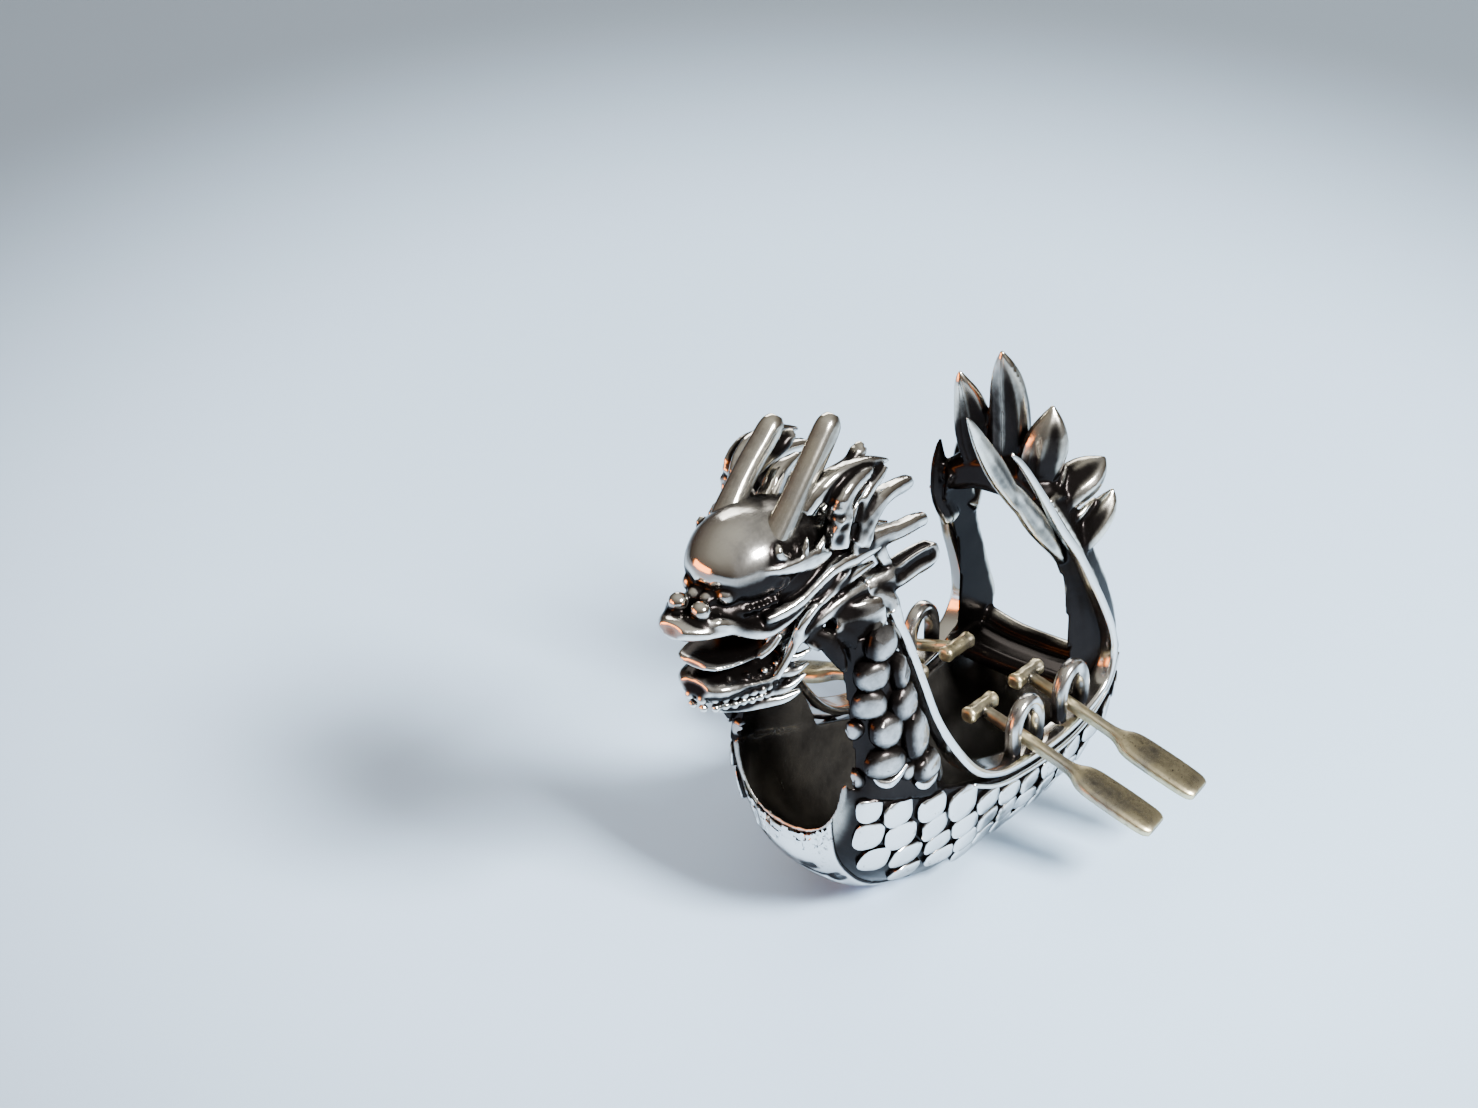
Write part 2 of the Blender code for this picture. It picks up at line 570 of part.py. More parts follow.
def gunwale_top(x):
    line = GUNWALE_MID
    for (x0, z0), (x1, z1) in zip(line, line[1:]):
        if x0 <= x <= x1:
            return z0 + (z1 - z0) * (x - x0) / (x1 - x0) + 0.2
    return line[-1][1] + 0.2


def build_oarlocks(material):
    """A staple that straddles each oar, with both feet on the gunwale."""
    for name, x in OAR_STATIONS:
        foot = max(gunwale_top(x - LOCK_HALF_WIDTH), gunwale_top(x + LOCK_HALF_WIDTH)) + 0.09
        arch = []
        for k in range(9):
            turn = math.pi * k / 8
            up = math.sin(turn) * (LOCK_HEIGHT - 0.75) + 0.75
            arch.append((x - math.cos(turn) * LOCK_HALF_WIDTH, foot + up))
        arch = [(x - LOCK_HALF_WIDTH, foot)] + arch + [(x + LOCK_HALF_WIDTH, foot)]
        rows = [(along, -3.3, up, LOCK_WIRE, LOCK_WIRE) for along, up in arch]
        mirrored(sweep(f"oarlock_{name}_port", rows, material))


def build_oars(material):
    """Each oar is one casting: a crossed grip inside the boat, a round shaft and a flat blade."""
    out = Vector((0, -math.cos(OAR_DROOP), -math.sin(OAR_DROOP)))
    blade_start = OAR_OUTBOARD - BLADE_LENGTH
    # distance from the axle, half width along the boat, half thickness
    shaft_and_blade = (
        (-OAR_INBOARD, OAR_RADIUS, OAR_RADIUS),
        (blade_start - 0.2, OAR_RADIUS, OAR_RADIUS),
        (blade_start + 0.5, 0.55, 0.24),
        (OAR_OUTBOARD - 0.7, 0.62, 0.2),
        (OAR_OUTBOARD, 0.5, 0.12),
    )
    for name, x in OAR_STATIONS:
        axle = Vector((x, -3.3, gunwale_top(x) + OAR_AXLE_LIFT))
        rows = [(*(axle + out * d), wide, thick) for d, wide, thick in shaft_and_blade]
        oar = sweep(f"oar_{name}_port", rows, material, across=(1, 0, 0), origin=axle)
        end = axle - out * OAR_INBOARD
        # distance from the middle of the grip and radius
        bar = ((-0.85, 0.2), (-0.5, 0.27), (0.5, 0.27), (0.85, 0.2))
        bar = [(end.x + along, end.y, end.z, radius, radius) for along, radius in bar]
        grip = sweep(f"grip for {oar.name}", bar, material, origin=axle)
        grip.hide_render = True
        grip.display_type = "WIRE"
        join = oar.modifiers.new("Grip", "BOOLEAN")
        join.operation = "UNION"
        join.solver = "EXACT"
        join.object = grip
        mirrored(oar)


def main():
    clear_scene()
    polished = silver("polished silver", (0.80, 0.80, 0.78), 0.18)
    blackened = silver("blackened silver", (0.16, 0.15, 0.14), 0.4)
    oar_silver = silver("worn oar silver", (0.70, 0.67, 0.55), 0.3)
    hull = build_hull(blackened)
    neck = build_neck(blackened)
    mirrored(neck)
    strip = build_gunwales(polished)
    post, root = build_stern(blackened, hull, strip)
    add_hull_relief(hull)
    build_head(polished, blackened, neck)
    build_tail(polished, post, root, strip)
    build_oarlocks(polished)
    build_oars(oar_silver)


main()
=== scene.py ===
import math
import random

import bpy
import numpy as np
from mathutils import Matrix, Vector
from mathutils.bvhtree import BVHTree


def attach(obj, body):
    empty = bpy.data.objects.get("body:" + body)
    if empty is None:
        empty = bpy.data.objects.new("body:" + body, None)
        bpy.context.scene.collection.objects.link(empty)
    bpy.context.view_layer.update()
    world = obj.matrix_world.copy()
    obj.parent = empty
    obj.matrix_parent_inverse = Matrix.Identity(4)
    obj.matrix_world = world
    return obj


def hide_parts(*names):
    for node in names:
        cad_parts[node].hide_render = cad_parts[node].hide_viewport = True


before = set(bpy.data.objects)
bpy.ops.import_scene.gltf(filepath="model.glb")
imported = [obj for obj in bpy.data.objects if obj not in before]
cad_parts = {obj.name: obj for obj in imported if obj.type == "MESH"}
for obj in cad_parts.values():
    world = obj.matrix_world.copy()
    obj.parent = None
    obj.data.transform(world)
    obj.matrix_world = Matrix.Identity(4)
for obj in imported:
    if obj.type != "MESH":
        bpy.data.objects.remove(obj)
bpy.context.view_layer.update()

# everything is modelled in millimetres, and shrunk to metres when a piece is finished
mm = 0.001
dice = random.Random(7)


def deselectAll():
    bpy.ops.object.select_all(action="DESELECT")


def useOnly(*objects):
    deselectAll()
    for obj in objects:
        obj.select_set(True)
    bpy.context.view_layer.objects.active = objects[0]


def readPoints(obj):
    points = np.empty(len(obj.data.vertices) * 3)
    obj.data.vertices.foreach_get("co", points)
    return points.reshape(-1, 3)


def writePoints(obj, points):
    obj.data.vertices.foreach_set("co", np.asarray(points, dtype=float).ravel())
    obj.data.update()


def smoothRows(rows, count):
    # a smooth line through the rows of a table, read at evenly spaced places
    table = np.array(rows, dtype=float)
    table = np.vstack([2 * table[0] - table[1], table, 2 * table[-1] - table[-2]])
    places = np.linspace(0, len(rows) - 1, count)
    return readRows(table, places)


def readRows(table, places):
    places = np.asarray(places, dtype=float)
    start = np.clip(places.astype(int), 0, len(table) - 4)
    t = (places - start)[..., None]
    a, b, c, d = (table[start + k] for k in range(4))
    return 0.5 * (2 * b + (c - a) * t + (2 * a - 5 * b + 4 * c - d) * t**2 + (3 * b - a - 3 * c + d) * t**3)


def pullRings(rings):
    # a closed form through rings: a disc is pulled up ring by ring, and then set on the points
    rings = np.asarray(rings, dtype=float)
    count, sides = rings.shape[:2]
    deselectAll()
    bpy.ops.mesh.primitive_circle_add(vertices=sides, radius=1, fill_type="NGON")
    form = bpy.context.object
    bpy.ops.object.mode_set(mode="EDIT")
    bpy.ops.mesh.select_all(action="SELECT")
    for _ in range(count - 1):
        bpy.ops.mesh.extrude_region_move(TRANSFORM_OT_translate={"value": (0, 0, 1)})
    bpy.ops.object.mode_set(mode="OBJECT")
    points = readPoints(form)
    ring = np.clip(np.round(points[:, 2]).astype(int), 0, count - 1)
    turn = np.round(np.arctan2(points[:, 1], points[:, 0]) / math.tau * sides).astype(int) % sides
    writePoints(form, rings[ring, turn])
    return form


def drawForm(rows, sides=10, rings=9, across=(0, 1, 0), flat=1.0):
    # a bar along a line: x, y, z, half width along across, half thickness.
    # flat is below 1 for a squarer section and above 1 for one with a ridge and sharp edges.
    stations = smoothRows(rows, rings)
    centres = stations[:, :3]
    along = np.gradient(centres, axis=0)
    along /= np.linalg.norm(along, axis=1)[:, None]
    wide = np.array(across, dtype=float) - along * (along @ np.array(across, dtype=float))[:, None]
    wide /= np.linalg.norm(wide, axis=1)[:, None]
    thick = np.cross(along, wide)
    turn = np.arange(sides) * math.tau / sides
    u = np.sign(np.cos(turn)) * np.abs(np.cos(turn)) ** flat
    v = np.sign(np.sin(turn)) * np.abs(np.sin(turn)) ** flat
    size = np.maximum(stations[:, 3:5], 0.02)
    return pullRings(
        centres[:, None] + wide[:, None] * (u * size[:, :1])[..., None] + thick[:, None] * (v * size[:, 1:])[..., None]
    )


def drawKnob(place, size):
    deselectAll()
    bpy.ops.mesh.primitive_ico_sphere_add(subdivisions=2, radius=1)
    knob = bpy.context.object
    writePoints(knob, readPoints(knob) * np.array(size) + np.array(place))
    return knob


def mirrorOver(forms):
    # starboard twins of port forms
    twins = []
    for form in forms:
        useOnly(form)
        bpy.ops.object.duplicate()
        twin = bpy.context.object
        points = readPoints(twin)
        points[:, 1] *= -1
        writePoints(twin, points)
        twins.append(twin)
    return twins


def applyModifier(obj, kind, **settings):
    useOnly(obj)
    modifier = obj.modifiers.new(kind.title(), kind)
    for name, value in settings.items():
        setattr(modifier, name, value)
    bpy.ops.object.modifier_apply(modifier=modifier.name)


def makeOutward(obj):
    useOnly(obj)
    bpy.ops.object.mode_set(mode="EDIT")
    bpy.ops.mesh.select_all(action="SELECT")
    bpy.ops.mesh.remove_doubles(threshold=0.0005)
    bpy.ops.mesh.normals_make_consistent(inside=False)
    bpy.ops.object.mode_set(mode="OBJECT")


def castTogether(name, forms, grain, softening=3):
    # joins the forms and casts them as one piece, with soft fillets where they meet
    for form in forms:
        makeOutward(form)
    useOnly(*forms)
    bpy.ops.object.join()
    casting = bpy.context.object
    casting.name = name
    applyModifier(casting, "REMESH", mode="VOXEL", voxel_size=grain)
    applyModifier(casting, "SMOOTH", factor=0.5, iterations=softening)
    return casting


def neighbourMean(values, edges, count, total):
    summed = np.zeros_like(values)
    for k in range(values.shape[1]):
        summed[:, k] = np.bincount(edges[:, 0], values[edges[:, 1], k], total)
        summed[:, k] += np.bincount(edges[:, 1], values[edges[:, 0], k], total)
    return summed / count[:, None]


def readNormals(obj):
    normals = np.empty(len(obj.data.vertices) * 3)
    obj.data.vertex_normals.foreach_get("vector", normals)
    return normals.reshape(-1, 3)


def readEdges(obj):
    edges = np.empty(len(obj.data.edges) * 2, dtype=np.int64)
    obj.data.edges.foreach_get("vertices", edges)
    return edges.reshape(-1, 2)


def carve(obj, line, width, depth):
    # presses a groove along a line into a piece, or raises a ridge where the depth is below 0
    points = readPoints(obj)
    path = smoothRows([(*p, 0) for p in line], 24)[:, :3]
    nearest = np.full(len(points), 1e9)
    for a, b in zip(path, path[1:]):
        step = b - a
        t = np.clip(((points - a) @ step) / (step @ step), 0, 1)
        nearest = np.minimum(nearest, np.linalg.norm(points - a - t[:, None] * step, axis=1))
    amount = depth * np.exp(-((nearest / width) ** 2))
    writePoints(obj, points - readNormals(obj) * amount[:, None])


def markWear(obj, reach=30, gain=9.0, offset=0.45):
    # 0 in the grooves, where the black stays, and 1 on what is rubbed bright
    points, edges, total = readPoints(obj), readEdges(obj), len(obj.data.vertices)
    count = np.maximum(np.bincount(edges.ravel(), minlength=total), 1)
    normals = readNormals(obj)
    wear = np.zeros(total)
    smooth = points.copy()
    for step in range(1, reach + 1):
        smooth = neighbourMean(smooth, edges, count, total)
        if step in (max(2, reach // 6), reach):
            wear += np.einsum("ij,ij->i", points - smooth, normals) * (1.4 if step < reach else 1.0)
    wear = np.clip(offset + gain * wear, 0, 1)[:, None]
    wear = neighbourMean(wear, edges, count, total)[:, 0]
    setAttribute(obj, "wear", wear)


def shade(obj, spots):
    # lowers the wear near given spots, which darkens them: black patina kept in hollows that nothing rubs, and painted
    # shade where a part lies in shadow; where the amount is above 1 it raises the wear instead, a painted highlight. x,
    # y, z, reach, how much of the wear is left there
    points = readPoints(obj)
    wear = np.empty(len(points))
    obj.data.attributes["wear"].data.foreach_get("value", wear)
    for x, y, z, reach, kept in spots:
        away = np.linalg.norm(points - np.array((x, y, z)), axis=1) / reach
        wear *= 1 - (1 - kept) * np.clip(1.6 - 1.6 * away, 0, 1)
    setAttribute(obj, "wear", wear)


def bothShades(spots):
    return [(x, side * y, z, reach, kept) for x, y, z, reach, kept in spots for side in (-1, 1)]


def setAttribute(obj, name, values):
    attribute = obj.data.attributes.get(name) or obj.data.attributes.new(name, "FLOAT", "POINT")
    attribute.data.foreach_set("value", np.asarray(values, dtype=np.float32))


def finishPiece(piece, name, material, body="boat", replaces=(), sharp=None):
    piece.name = name
    piece.data.name = name
    piece.data.transform(Matrix.Scale(mm, 4))
    piece.matrix_world = Matrix.Identity(4)
    piece.data.materials.clear()
    piece.data.materials.append(material)
    useOnly(piece)
    if sharp:
        bpy.ops.object.shade_smooth_by_angle(angle=math.radians(sharp))
    else:
        bpy.ops.object.shade_smooth()
    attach(piece, body)
    if replaces:
        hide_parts(*replaces)
    return piece


def bothSides(*names):
    return [f"{name}_{side}" for name in names for side in ("port", "starboard")]

class Wire:
    # a node's output that can be used in sums
    def __init__(self, tree, socket):
        self.tree, self.socket = tree, socket

    def node(self, operation, *values, clamp=False):
        made = self.tree.nodes.new("ShaderNodeMath")
        made.operation = operation
        made.use_clamp = clamp
        for slot, value in zip(made.inputs, values):
            if isinstance(value, Wire):
                self.tree.links.new(value.socket, slot)
            else:
                slot.default_value = value
        return Wire(self.tree, made.outputs[0])

    def __add__(self, other): return self.node("ADD", self, other)
    def __radd__(self, other): return self.node("ADD", other, self)
    def __sub__(self, other): return self.node("SUBTRACT", self, other)
    def __rsub__(self, other): return self.node("SUBTRACT", other, self)
    def __mul__(self, other): return self.node("MULTIPLY", self, other)
    def __rmul__(self, other): return self.node("MULTIPLY", other, self)
    def __truediv__(self, other): return self.node("DIVIDE", self, other)
    def __pow__(self, other): return self.node("POWER", self, other)
    def clamped(self): return self.node("ADD", self, 0.0, clamp=True)


class Finish:
    # a material whose nodes are added one by one
    def __init__(self, name):
        self.material = bpy.data.materials.new(name)
        self.material.use_nodes = True
        self.tree = self.material.node_tree
        self.shader = self.tree.nodes["Principled BSDF"]

    def add(self, kind, settings=None, output=0, **sockets):
        made = self.tree.nodes.new(kind)
        for key, value in (settings or {}).items():
            if key == "stops":
                ramp = made.color_ramp
                while len(ramp.elements) < len(value):
                    ramp.elements.new(0.5)
                for element, (place, colour) in zip(ramp.elements, value):
                    element.position, element.color = place, colour
            else:
                setattr(made, key, value)
        for key, value in sockets.items():
            slot = made.inputs[int(key[1:])] if key[0] == "i" and key[1:].isdigit() else made.inputs[key.replace("_", " ")]
            self.give(slot, value)
        return Wire(self.tree, made.outputs[output])

    def give(self, slot, value):
        if isinstance(value, Wire):
            self.tree.links.new(value.socket, slot)
        else:
            slot.default_value = value

    def feed(self, name, value):
        self.give(self.shader.inputs[name], value)

    def mix(self, factor, a, b):
        return self.add("ShaderNodeMix", {"data_type": "RGBA"}, output=2, i0=factor, i6=a, i7=b)

patina = {
    "bright": (0.93, 0.92, 0.9, 1),
    "warm": (0.78, 0.69, 0.44, 1),
    "grey": (0.1, 0.085, 0.08, 1),
    "black": (0.005, 0.004, 0.004, 1),
    "grooveRough": 0.24,
    "blotchScale": 700,
    "pitScale": 5200,
    "scratchScale": 9000,
}


def silverFinish(name, wearLow=0.3, wearHigh=0.7, warmth=0.12, polish=0.14, pits=0.25, grey=0.12, stain=0.35):
    finish = Finish(name)
    place = finish.add("ShaderNodeTexCoord", output=3)
    wear = finish.add("ShaderNodeAttribute", {"attribute_name": "wear"}, output=2)
    blotch = finish.add("ShaderNodeTexNoise", Vector=place, Scale=patina["blotchScale"], Detail=4.0, Roughness=0.6)
    pit = finish.add("ShaderNodeTexNoise", Vector=place, Scale=patina["pitScale"], Detail=3.0, Roughness=0.65)
    stretched = finish.add("ShaderNodeMapping", Vector=place, Scale=(1.0, 1.0, 0.12))
    scratch = finish.add("ShaderNodeTexNoise", Vector=stretched, Scale=patina["scratchScale"], Detail=2.0)
    level = wear + (blotch - 0.5) * stain + (pit - 0.5) * 0.12
    bright = finish.add(
        "ShaderNodeMapRange", {"interpolation_type": "SMOOTHSTEP"},
        Value=level, From_Min=wearLow, From_Max=wearHigh, To_Min=0.0, To_Max=1.0,
    )
    specks = finish.add(
        "ShaderNodeMapRange", {"interpolation_type": "SMOOTHSTEP"},
        Value=pit * 0.6 + blotch * 0.4, From_Min=0.57, From_Max=0.68, To_Min=0.0, To_Max=pits,
    )
    bright = (bright - specks).clamped()
    warm = ((blotch - 0.35) * 1.6 * warmth + warmth * 0.5).clamped()
    silver = finish.mix(warm, patina["bright"], patina["warm"])
    dull = finish.mix((blotch * grey).clamped(), patina["black"], patina["grey"])
    finish.feed("Base Color", finish.mix(bright**1.5, dull, silver))
    finish.feed("Specular Tint", (0.45, 0.45, 0.45, 1))
    finish.feed("Metallic", (bright * 0.15 + 0.85).clamped())
    rough = patina["grooveRough"] - bright * (patina["grooveRough"] - polish)
    finish.feed("Roughness", (rough + (scratch - 0.5) * 0.08).clamped())
    finish.feed("Normal", finish.add("ShaderNodeBump", Strength=0.1, Distance=0.00002, Height=pit * 0.7 + scratch * 0.3))
    return finish.material


print("materials")
scaleSilver = silverFinish("scale silver", wearLow=0.4, wearHigh=0.85, warmth=0.02, polish=0.16, pits=0.5, grey=0.2, stain=0.3)
skinSilver = silverFinish("skin silver", wearLow=0.05, wearHigh=1.3, warmth=0.3, polish=0.3, pits=0.0, grey=0.2)
rimSilver = silverFinish("rim silver", wearLow=0.25, wearHigh=0.8, warmth=0.12, polish=0.16, pits=0.2)
headSilver = silverFinish("head silver", wearLow=0.46, wearHigh=1.0, warmth=0.15, polish=0.12, pits=0.1)
tailSilver = silverFinish("tail silver", wearLow=0.42, wearHigh=1.0, warmth=0.45, polish=0.15, pits=0.1)
oarSilver = silverFinish("oar silver", wearLow=0.2, wearHigh=1.0, warmth=1.3, polish=0.34, pits=0.4, stain=0.6)


hullShape = {
    # x, keel height, half beam, top of the side, height over which the bottom rounds up, wall
    "stations": (
        (-6.6, 4.85, 2.4, 7.5, 2.7, 0.25), (-6.42, 4.2, 2.45, 7.3, 3.1, 0.3), (-6.25, 3.65, 2.55, 7.1, 3.5, 0.35), (-6.0, 3.25, 2.8, 6.99, 3.7, 0.45), (-5.5, 2.65, 3.05, 6.8, 4.2, 0.6),
        (-4.4, 1.6, 3.3, 6.38, 4.9, 0.75), (-3.3, 0.9, 3.42, 5.97, 5.4, 0.85), (-2.2, 0.42, 3.52, 5.55, 5.7, 0.85),
        (-1.4, 0.15, 3.58, 5.25, 5.6, 0.85), (-0.6, -0.12, 3.6, 4.95, 5.4, 0.85), (1.2, -0.12, 3.6, 4.35, 5.2, 0.85),
        (3.2, -0.12, 3.6, 4.1, 5.0, 0.85), (4.6, -0.12, 3.6, 4.1, 4.9, 0.85), (5.8, 0.1, 3.6, 4.2, 4.6, 0.85),
        (6.8, 0.42, 3.58, 4.4, 4.2, 0.85), (7.6, 0.85, 3.52, 4.75, 3.9, 0.85), (8.4, 1.6, 3.4, 5.3, 3.6, 0.75),
        (9.15, 2.85, 3.12, 6.15, 3.3, 0.6),
    ),
    # a leg of the neck, from the hull up to the head: x and z under the strip, x and z at the open chest
    "neck": (
        (-1.3, 5.0, -6.3, 6.9), (-2.04, 6.61, -6.2, 8.2), (-3.06, 8.3, -6.25, 9.4),
        (-3.76, 10.12, -6.38, 10.7), (-4.41, 11.81, -6.6, 12.0), (-4.96, 13.0, -6.85, 13.0),
    ),
    # around a leg: how far it is from the strip to the chest, distance from the middle
    "section": (
        (0, 3.5), (0.3, 3.5), (0.55, 3.5), (0.7, 3.42), (0.8, 3.3), (0.88, 3.15), (0.95, 2.95), (1, 2.65),
        (0.98, 2.45), (0.88, 2.5), (0.75, 2.68), (0.5, 2.72), (0.25, 2.72), (0, 2.72),
    ),
    "grain": 0.085,
}


def hullSection(keel, half, top, rise, wall):
    # y and z round the U of the hull: down the outside from port to starboard, and back inside
    outer, inner = [], []
    for side, halfWide, floor, up, fullness in (
        (outer, half, keel, rise, 1.0), (inner, half - wall, keel + wall, rise - wall, 0.75),
    ):
        end = math.acos(max(0, 1 - (top - floor) / up))
        for k in range(41):
            turn = end * (k / 20 - 1)
            y = math.copysign(abs(math.sin(turn)) ** fullness, turn)
            side.append((halfWide * y, max(0.02, floor + up * (1 - math.cos(turn)))))
    return outer + inner[::-1]


def drawHull():
    rings = []
    for x, *row in smoothRows(hullShape["stations"], 80):
        rings.append([(x, y, z) for y, z in hullSection(*row)])
    return pullRings(rings)


def drawLeg():
    rings = []
    for xi, zi, xo, zo in smoothRows(hullShape["neck"], 30):
        ring = []
        for part, y in hullShape["section"]:
            x, z = xi + (xo - xi) * part, zi + (zo - zi) * part
            ring.append((x, -y + 0.1 * max(0, z - 7), z))
        rings.append(ring)
    return pullRings(rings)


print("hull")
leg = drawLeg()
skin = castTogether("skin", [drawHull(), leg] + mirrorOver([leg]), hullShape["grain"], 2)
skinTree = BVHTree.FromObject(skin, bpy.context.evaluated_depsgraph_get())
places, normals = readPoints(skin), readNormals(skin)
halfBeam = np.interp(places[:, 0], *zip(*[(row[0], row[2]) for row in hullShape["stations"]]))
inside = np.clip((halfBeam - 0.3 - np.abs(places[:, 1])) * 3, 0, 1)
inside *= np.where(normals[:, 1] * places[:, 1] < 0.3, 1, 0) * (normals[:, 2] > -0.45)
rim = np.clip(1 - (places[:, 0] + 6.45) / 0.3, 0, 1) * (places[:, 2] < 8)
rim *= np.clip(-normals[:, 0] * 2 - 0.6, 0, 1)
setAttribute(skin, "wear", np.clip(0.03 + inside * 0.36 + rim * 0.7, 0, 1))
finishPiece(skin, "hull_skin", skinSilver, replaces=["hull"] + bothSides("neck"))


scaleShape = {
    "corners": 22,
    # x, z, half length along the boat, half height
    "tiles": (
        (-5.88, 6.3, 0.46, 0.46), (-5.68, 5.1, 0.54, 0.58), (-4.98, 3.72, 0.56, 0.58),
        (-4.75, 5.78, 0.64, 0.5), (-4.4, 4.62, 0.64, 0.52), (-3.68, 3.34, 0.64, 0.58), (-3.0, 2.1, 0.6, 0.54),
        (-3.12, 5.2, 0.66, 0.48), (-2.72, 4.18, 0.66, 0.46), (-2.2, 3.2, 0.64, 0.44), (-1.6, 2.2, 0.64, 0.46),
        (-1.42, 4.58, 0.76, 0.62), (-0.98, 3.38, 0.66, 0.44), (-0.45, 2.4, 0.64, 0.44), (0.0, 1.5, 0.6, 0.44),
        (0.12, 3.86, 0.64, 0.44), (0.48, 2.86, 0.6, 0.44), (0.85, 1.9, 0.56, 0.42), (1.2, 1.1, 0.54, 0.38),
        (1.52, 3.48, 0.6, 0.4), (1.86, 2.52, 0.56, 0.44), (2.2, 1.6, 0.54, 0.42), (2.5, 0.9, 0.5, 0.34),
        (2.88, 3.26, 0.6, 0.4), (3.12, 2.32, 0.55, 0.44), (3.4, 1.4, 0.54, 0.42),
        (4.22, 3.24, 0.6, 0.4), (4.42, 2.28, 0.55, 0.44), (4.62, 1.37, 0.54, 0.42),
        (5.52, 3.32, 0.56, 0.4), (5.72, 2.37, 0.54, 0.44), (5.87, 1.47, 0.5, 0.42),
        (6.77, 3.52, 0.53, 0.42), (6.92, 2.52, 0.5, 0.46), (7.02, 1.57, 0.47, 0.42),
        (7.87, 3.87, 0.46, 0.46), (7.97, 2.82, 0.44, 0.46), (8.67, 4.42, 0.34, 0.5),
    ),
    # x, z, half length, half height, how far it stands out
    "beads": (
        (-5.75, 12.6, 0.52, 0.47, 0.42), (-4.92, 12.25, 0.34, 0.42, 0.3), (-6.02, 11.6, 0.52, 0.5, 0.42),
        (-4.86, 11.27, 0.42, 0.56, 0.36), (-6.02, 10.5, 0.5, 0.5, 0.38), (-4.78, 10.1, 0.5, 0.58, 0.38),
        (-5.5, 9.35, 0.52, 0.56, 0.38), (-4.2, 8.72, 0.52, 0.8, 0.38), (-5.5, 8.08, 0.68, 0.46, 0.32),
        (-3.65, 7.22, 0.6, 0.46, 0.32), (-6.15, 9.35, 0.26, 0.36, 0.2), (-6.12, 7.5, 0.22, 0.3, 0.15),
        (-2.45, 6.25, 0.4, 0.3, 0.15), (-4.55, 7.35, 0.26, 0.26, 0.12),
    ),
    # the thin crescent under the two lowest beads
    "crescents": ((-5.5, 7.72, 0.78, 0.42), (-3.62, 6.86, 0.68, 0.4)),
    # size, height and wear of the rings of a scale and of a bead, from its foot to its middle
    "tileRings": ((0.97, -0.5, 0.0), (1.0, 0.45, 0.3), (0.97, 0.85, 0.85), (0.88, 1.0, 1.0), (0.5, 1.06, 1.0)),
    "beadRings": ((0.95, -0.2, 0.0), (1.0, 0.25, 0.05), (0.94, 0.62, 0.3), (0.76, 0.95, 0.5), (0.45, 1.15, 0.66)),
    "relief": 0.17,
}


def onSkin(point):
    place, normal, _, _ = skinTree.find_nearest(Vector(point))
    return place, normal


def drawScale():
    # one scale: a disc drawn up through its rings
    corners = scaleShape["corners"]
    turn = np.arange(corners) * math.tau / corners
    circle = np.stack([np.cos(turn), np.sin(turn), np.zeros(corners)], axis=1)
    scale = pullRings([circle * size + (0, 0, k) for k, (size, _, _) in enumerate(scaleShape["tileRings"])])
    useOnly(scale)
    bpy.ops.object.mode_set(mode="EDIT")
    bpy.ops.mesh.select_all(action="SELECT")
    bpy.ops.mesh.normals_make_consistent(inside=False)
    bpy.ops.object.mode_set(mode="OBJECT")
    return scale


def spreadScales(name):
    places = [(*row, scaleShape["relief"], "tileRings") for row in scaleShape["tiles"]]
    places += [(*row, "beadRings") for row in scaleShape["beads"]]
    scale = drawScale()
    sample = readPoints(scale)
    ring = np.clip(np.round(sample[:, 2]).astype(int), 0, 4)
    angle = np.arctan2(sample[:, 1], sample[:, 0])
    applyModifier(scale, "ARRAY", count=len(places), relative_offset_displace=(0, 0, 0), use_merge_vertices=False)
    points = readPoints(scale).reshape(len(places), -1, 3)
    wear = np.zeros(points.shape[:2])
    for i, (x, z, length, height, relief, kind) in enumerate(places):
        centre, normal, _, _ = skinTree.ray_cast(Vector((x, -9, z)), Vector((0, 1, 0)))
        across = (Vector((1, 0, 0)) - normal * normal.x).normalized()
        up = normal.cross(across)
        tile = kind == "tileRings"
        grown = 1.03 if tile else 1.26
        spin = dice.uniform(-0.07, 0.07) + (0.1 if tile else 0)
        tilt = (dice.uniform(-0.05, 0.05), dice.uniform(-0.08, -0.01)) if tile else (0, 0)
        for j in range(len(sample)):
            size, lift, rub = scaleShape[kind][ring[j]]
            # squarer above, rounder below
            power = (3.6 if angle[j] > 0 else 2.5) if tile else 2.1
            reach = (abs(math.cos(angle[j])) ** power + abs(math.sin(angle[j])) ** power) ** (-1 / power)
            reach *= size * (1 + (0.03 * math.sin(3 * angle[j] + i * 1.7) if size > 0.4 else 0))
            a, b = reach * math.cos(angle[j] + spin), reach * math.sin(angle[j] + spin)
            near, out = onSkin(centre + across * (a * length * grown) + up * (b * height * grown))
            lift = lift * relief + (tilt[0] * a + tilt[1] * b if ring[j] > 1 else 0)
            points[i, j] = near + out * lift
            wear[i, j] = rub
    points[..., 2] = np.maximum(points[..., 2], 0.01)
    writePoints(scale, points.reshape(-1, 3))
    setAttribute(scale, "wear", wear.ravel())
    crescents = []
    for x, z, half, drop in scaleShape["crescents"]:
        rows = []
        for t in (-1, -0.6, 0, 0.6, 1):
            near, out = onSkin((x + half * t, -3.6, z + drop * (t * t - 1)))
            rows.append((*(near + out * 0.1), 0.05 + 0.06 * (1 - t * t), 0.07 + 0.1 * (1 - t * t)))
        crescents.append(drawForm(rows, sides=10, rings=16))
        setAttribute(crescents[-1], "wear", np.full(len(crescents[-1].data.vertices), 0.8))
    useOnly(scale, *crescents)
    bpy.ops.object.join()
    scale = bpy.context.object
    twin = mirrorOver([scale])[0]
    useOnly(scale, twin)
    bpy.ops.object.join()
    makeOutwardLoose(scale)
    return scale


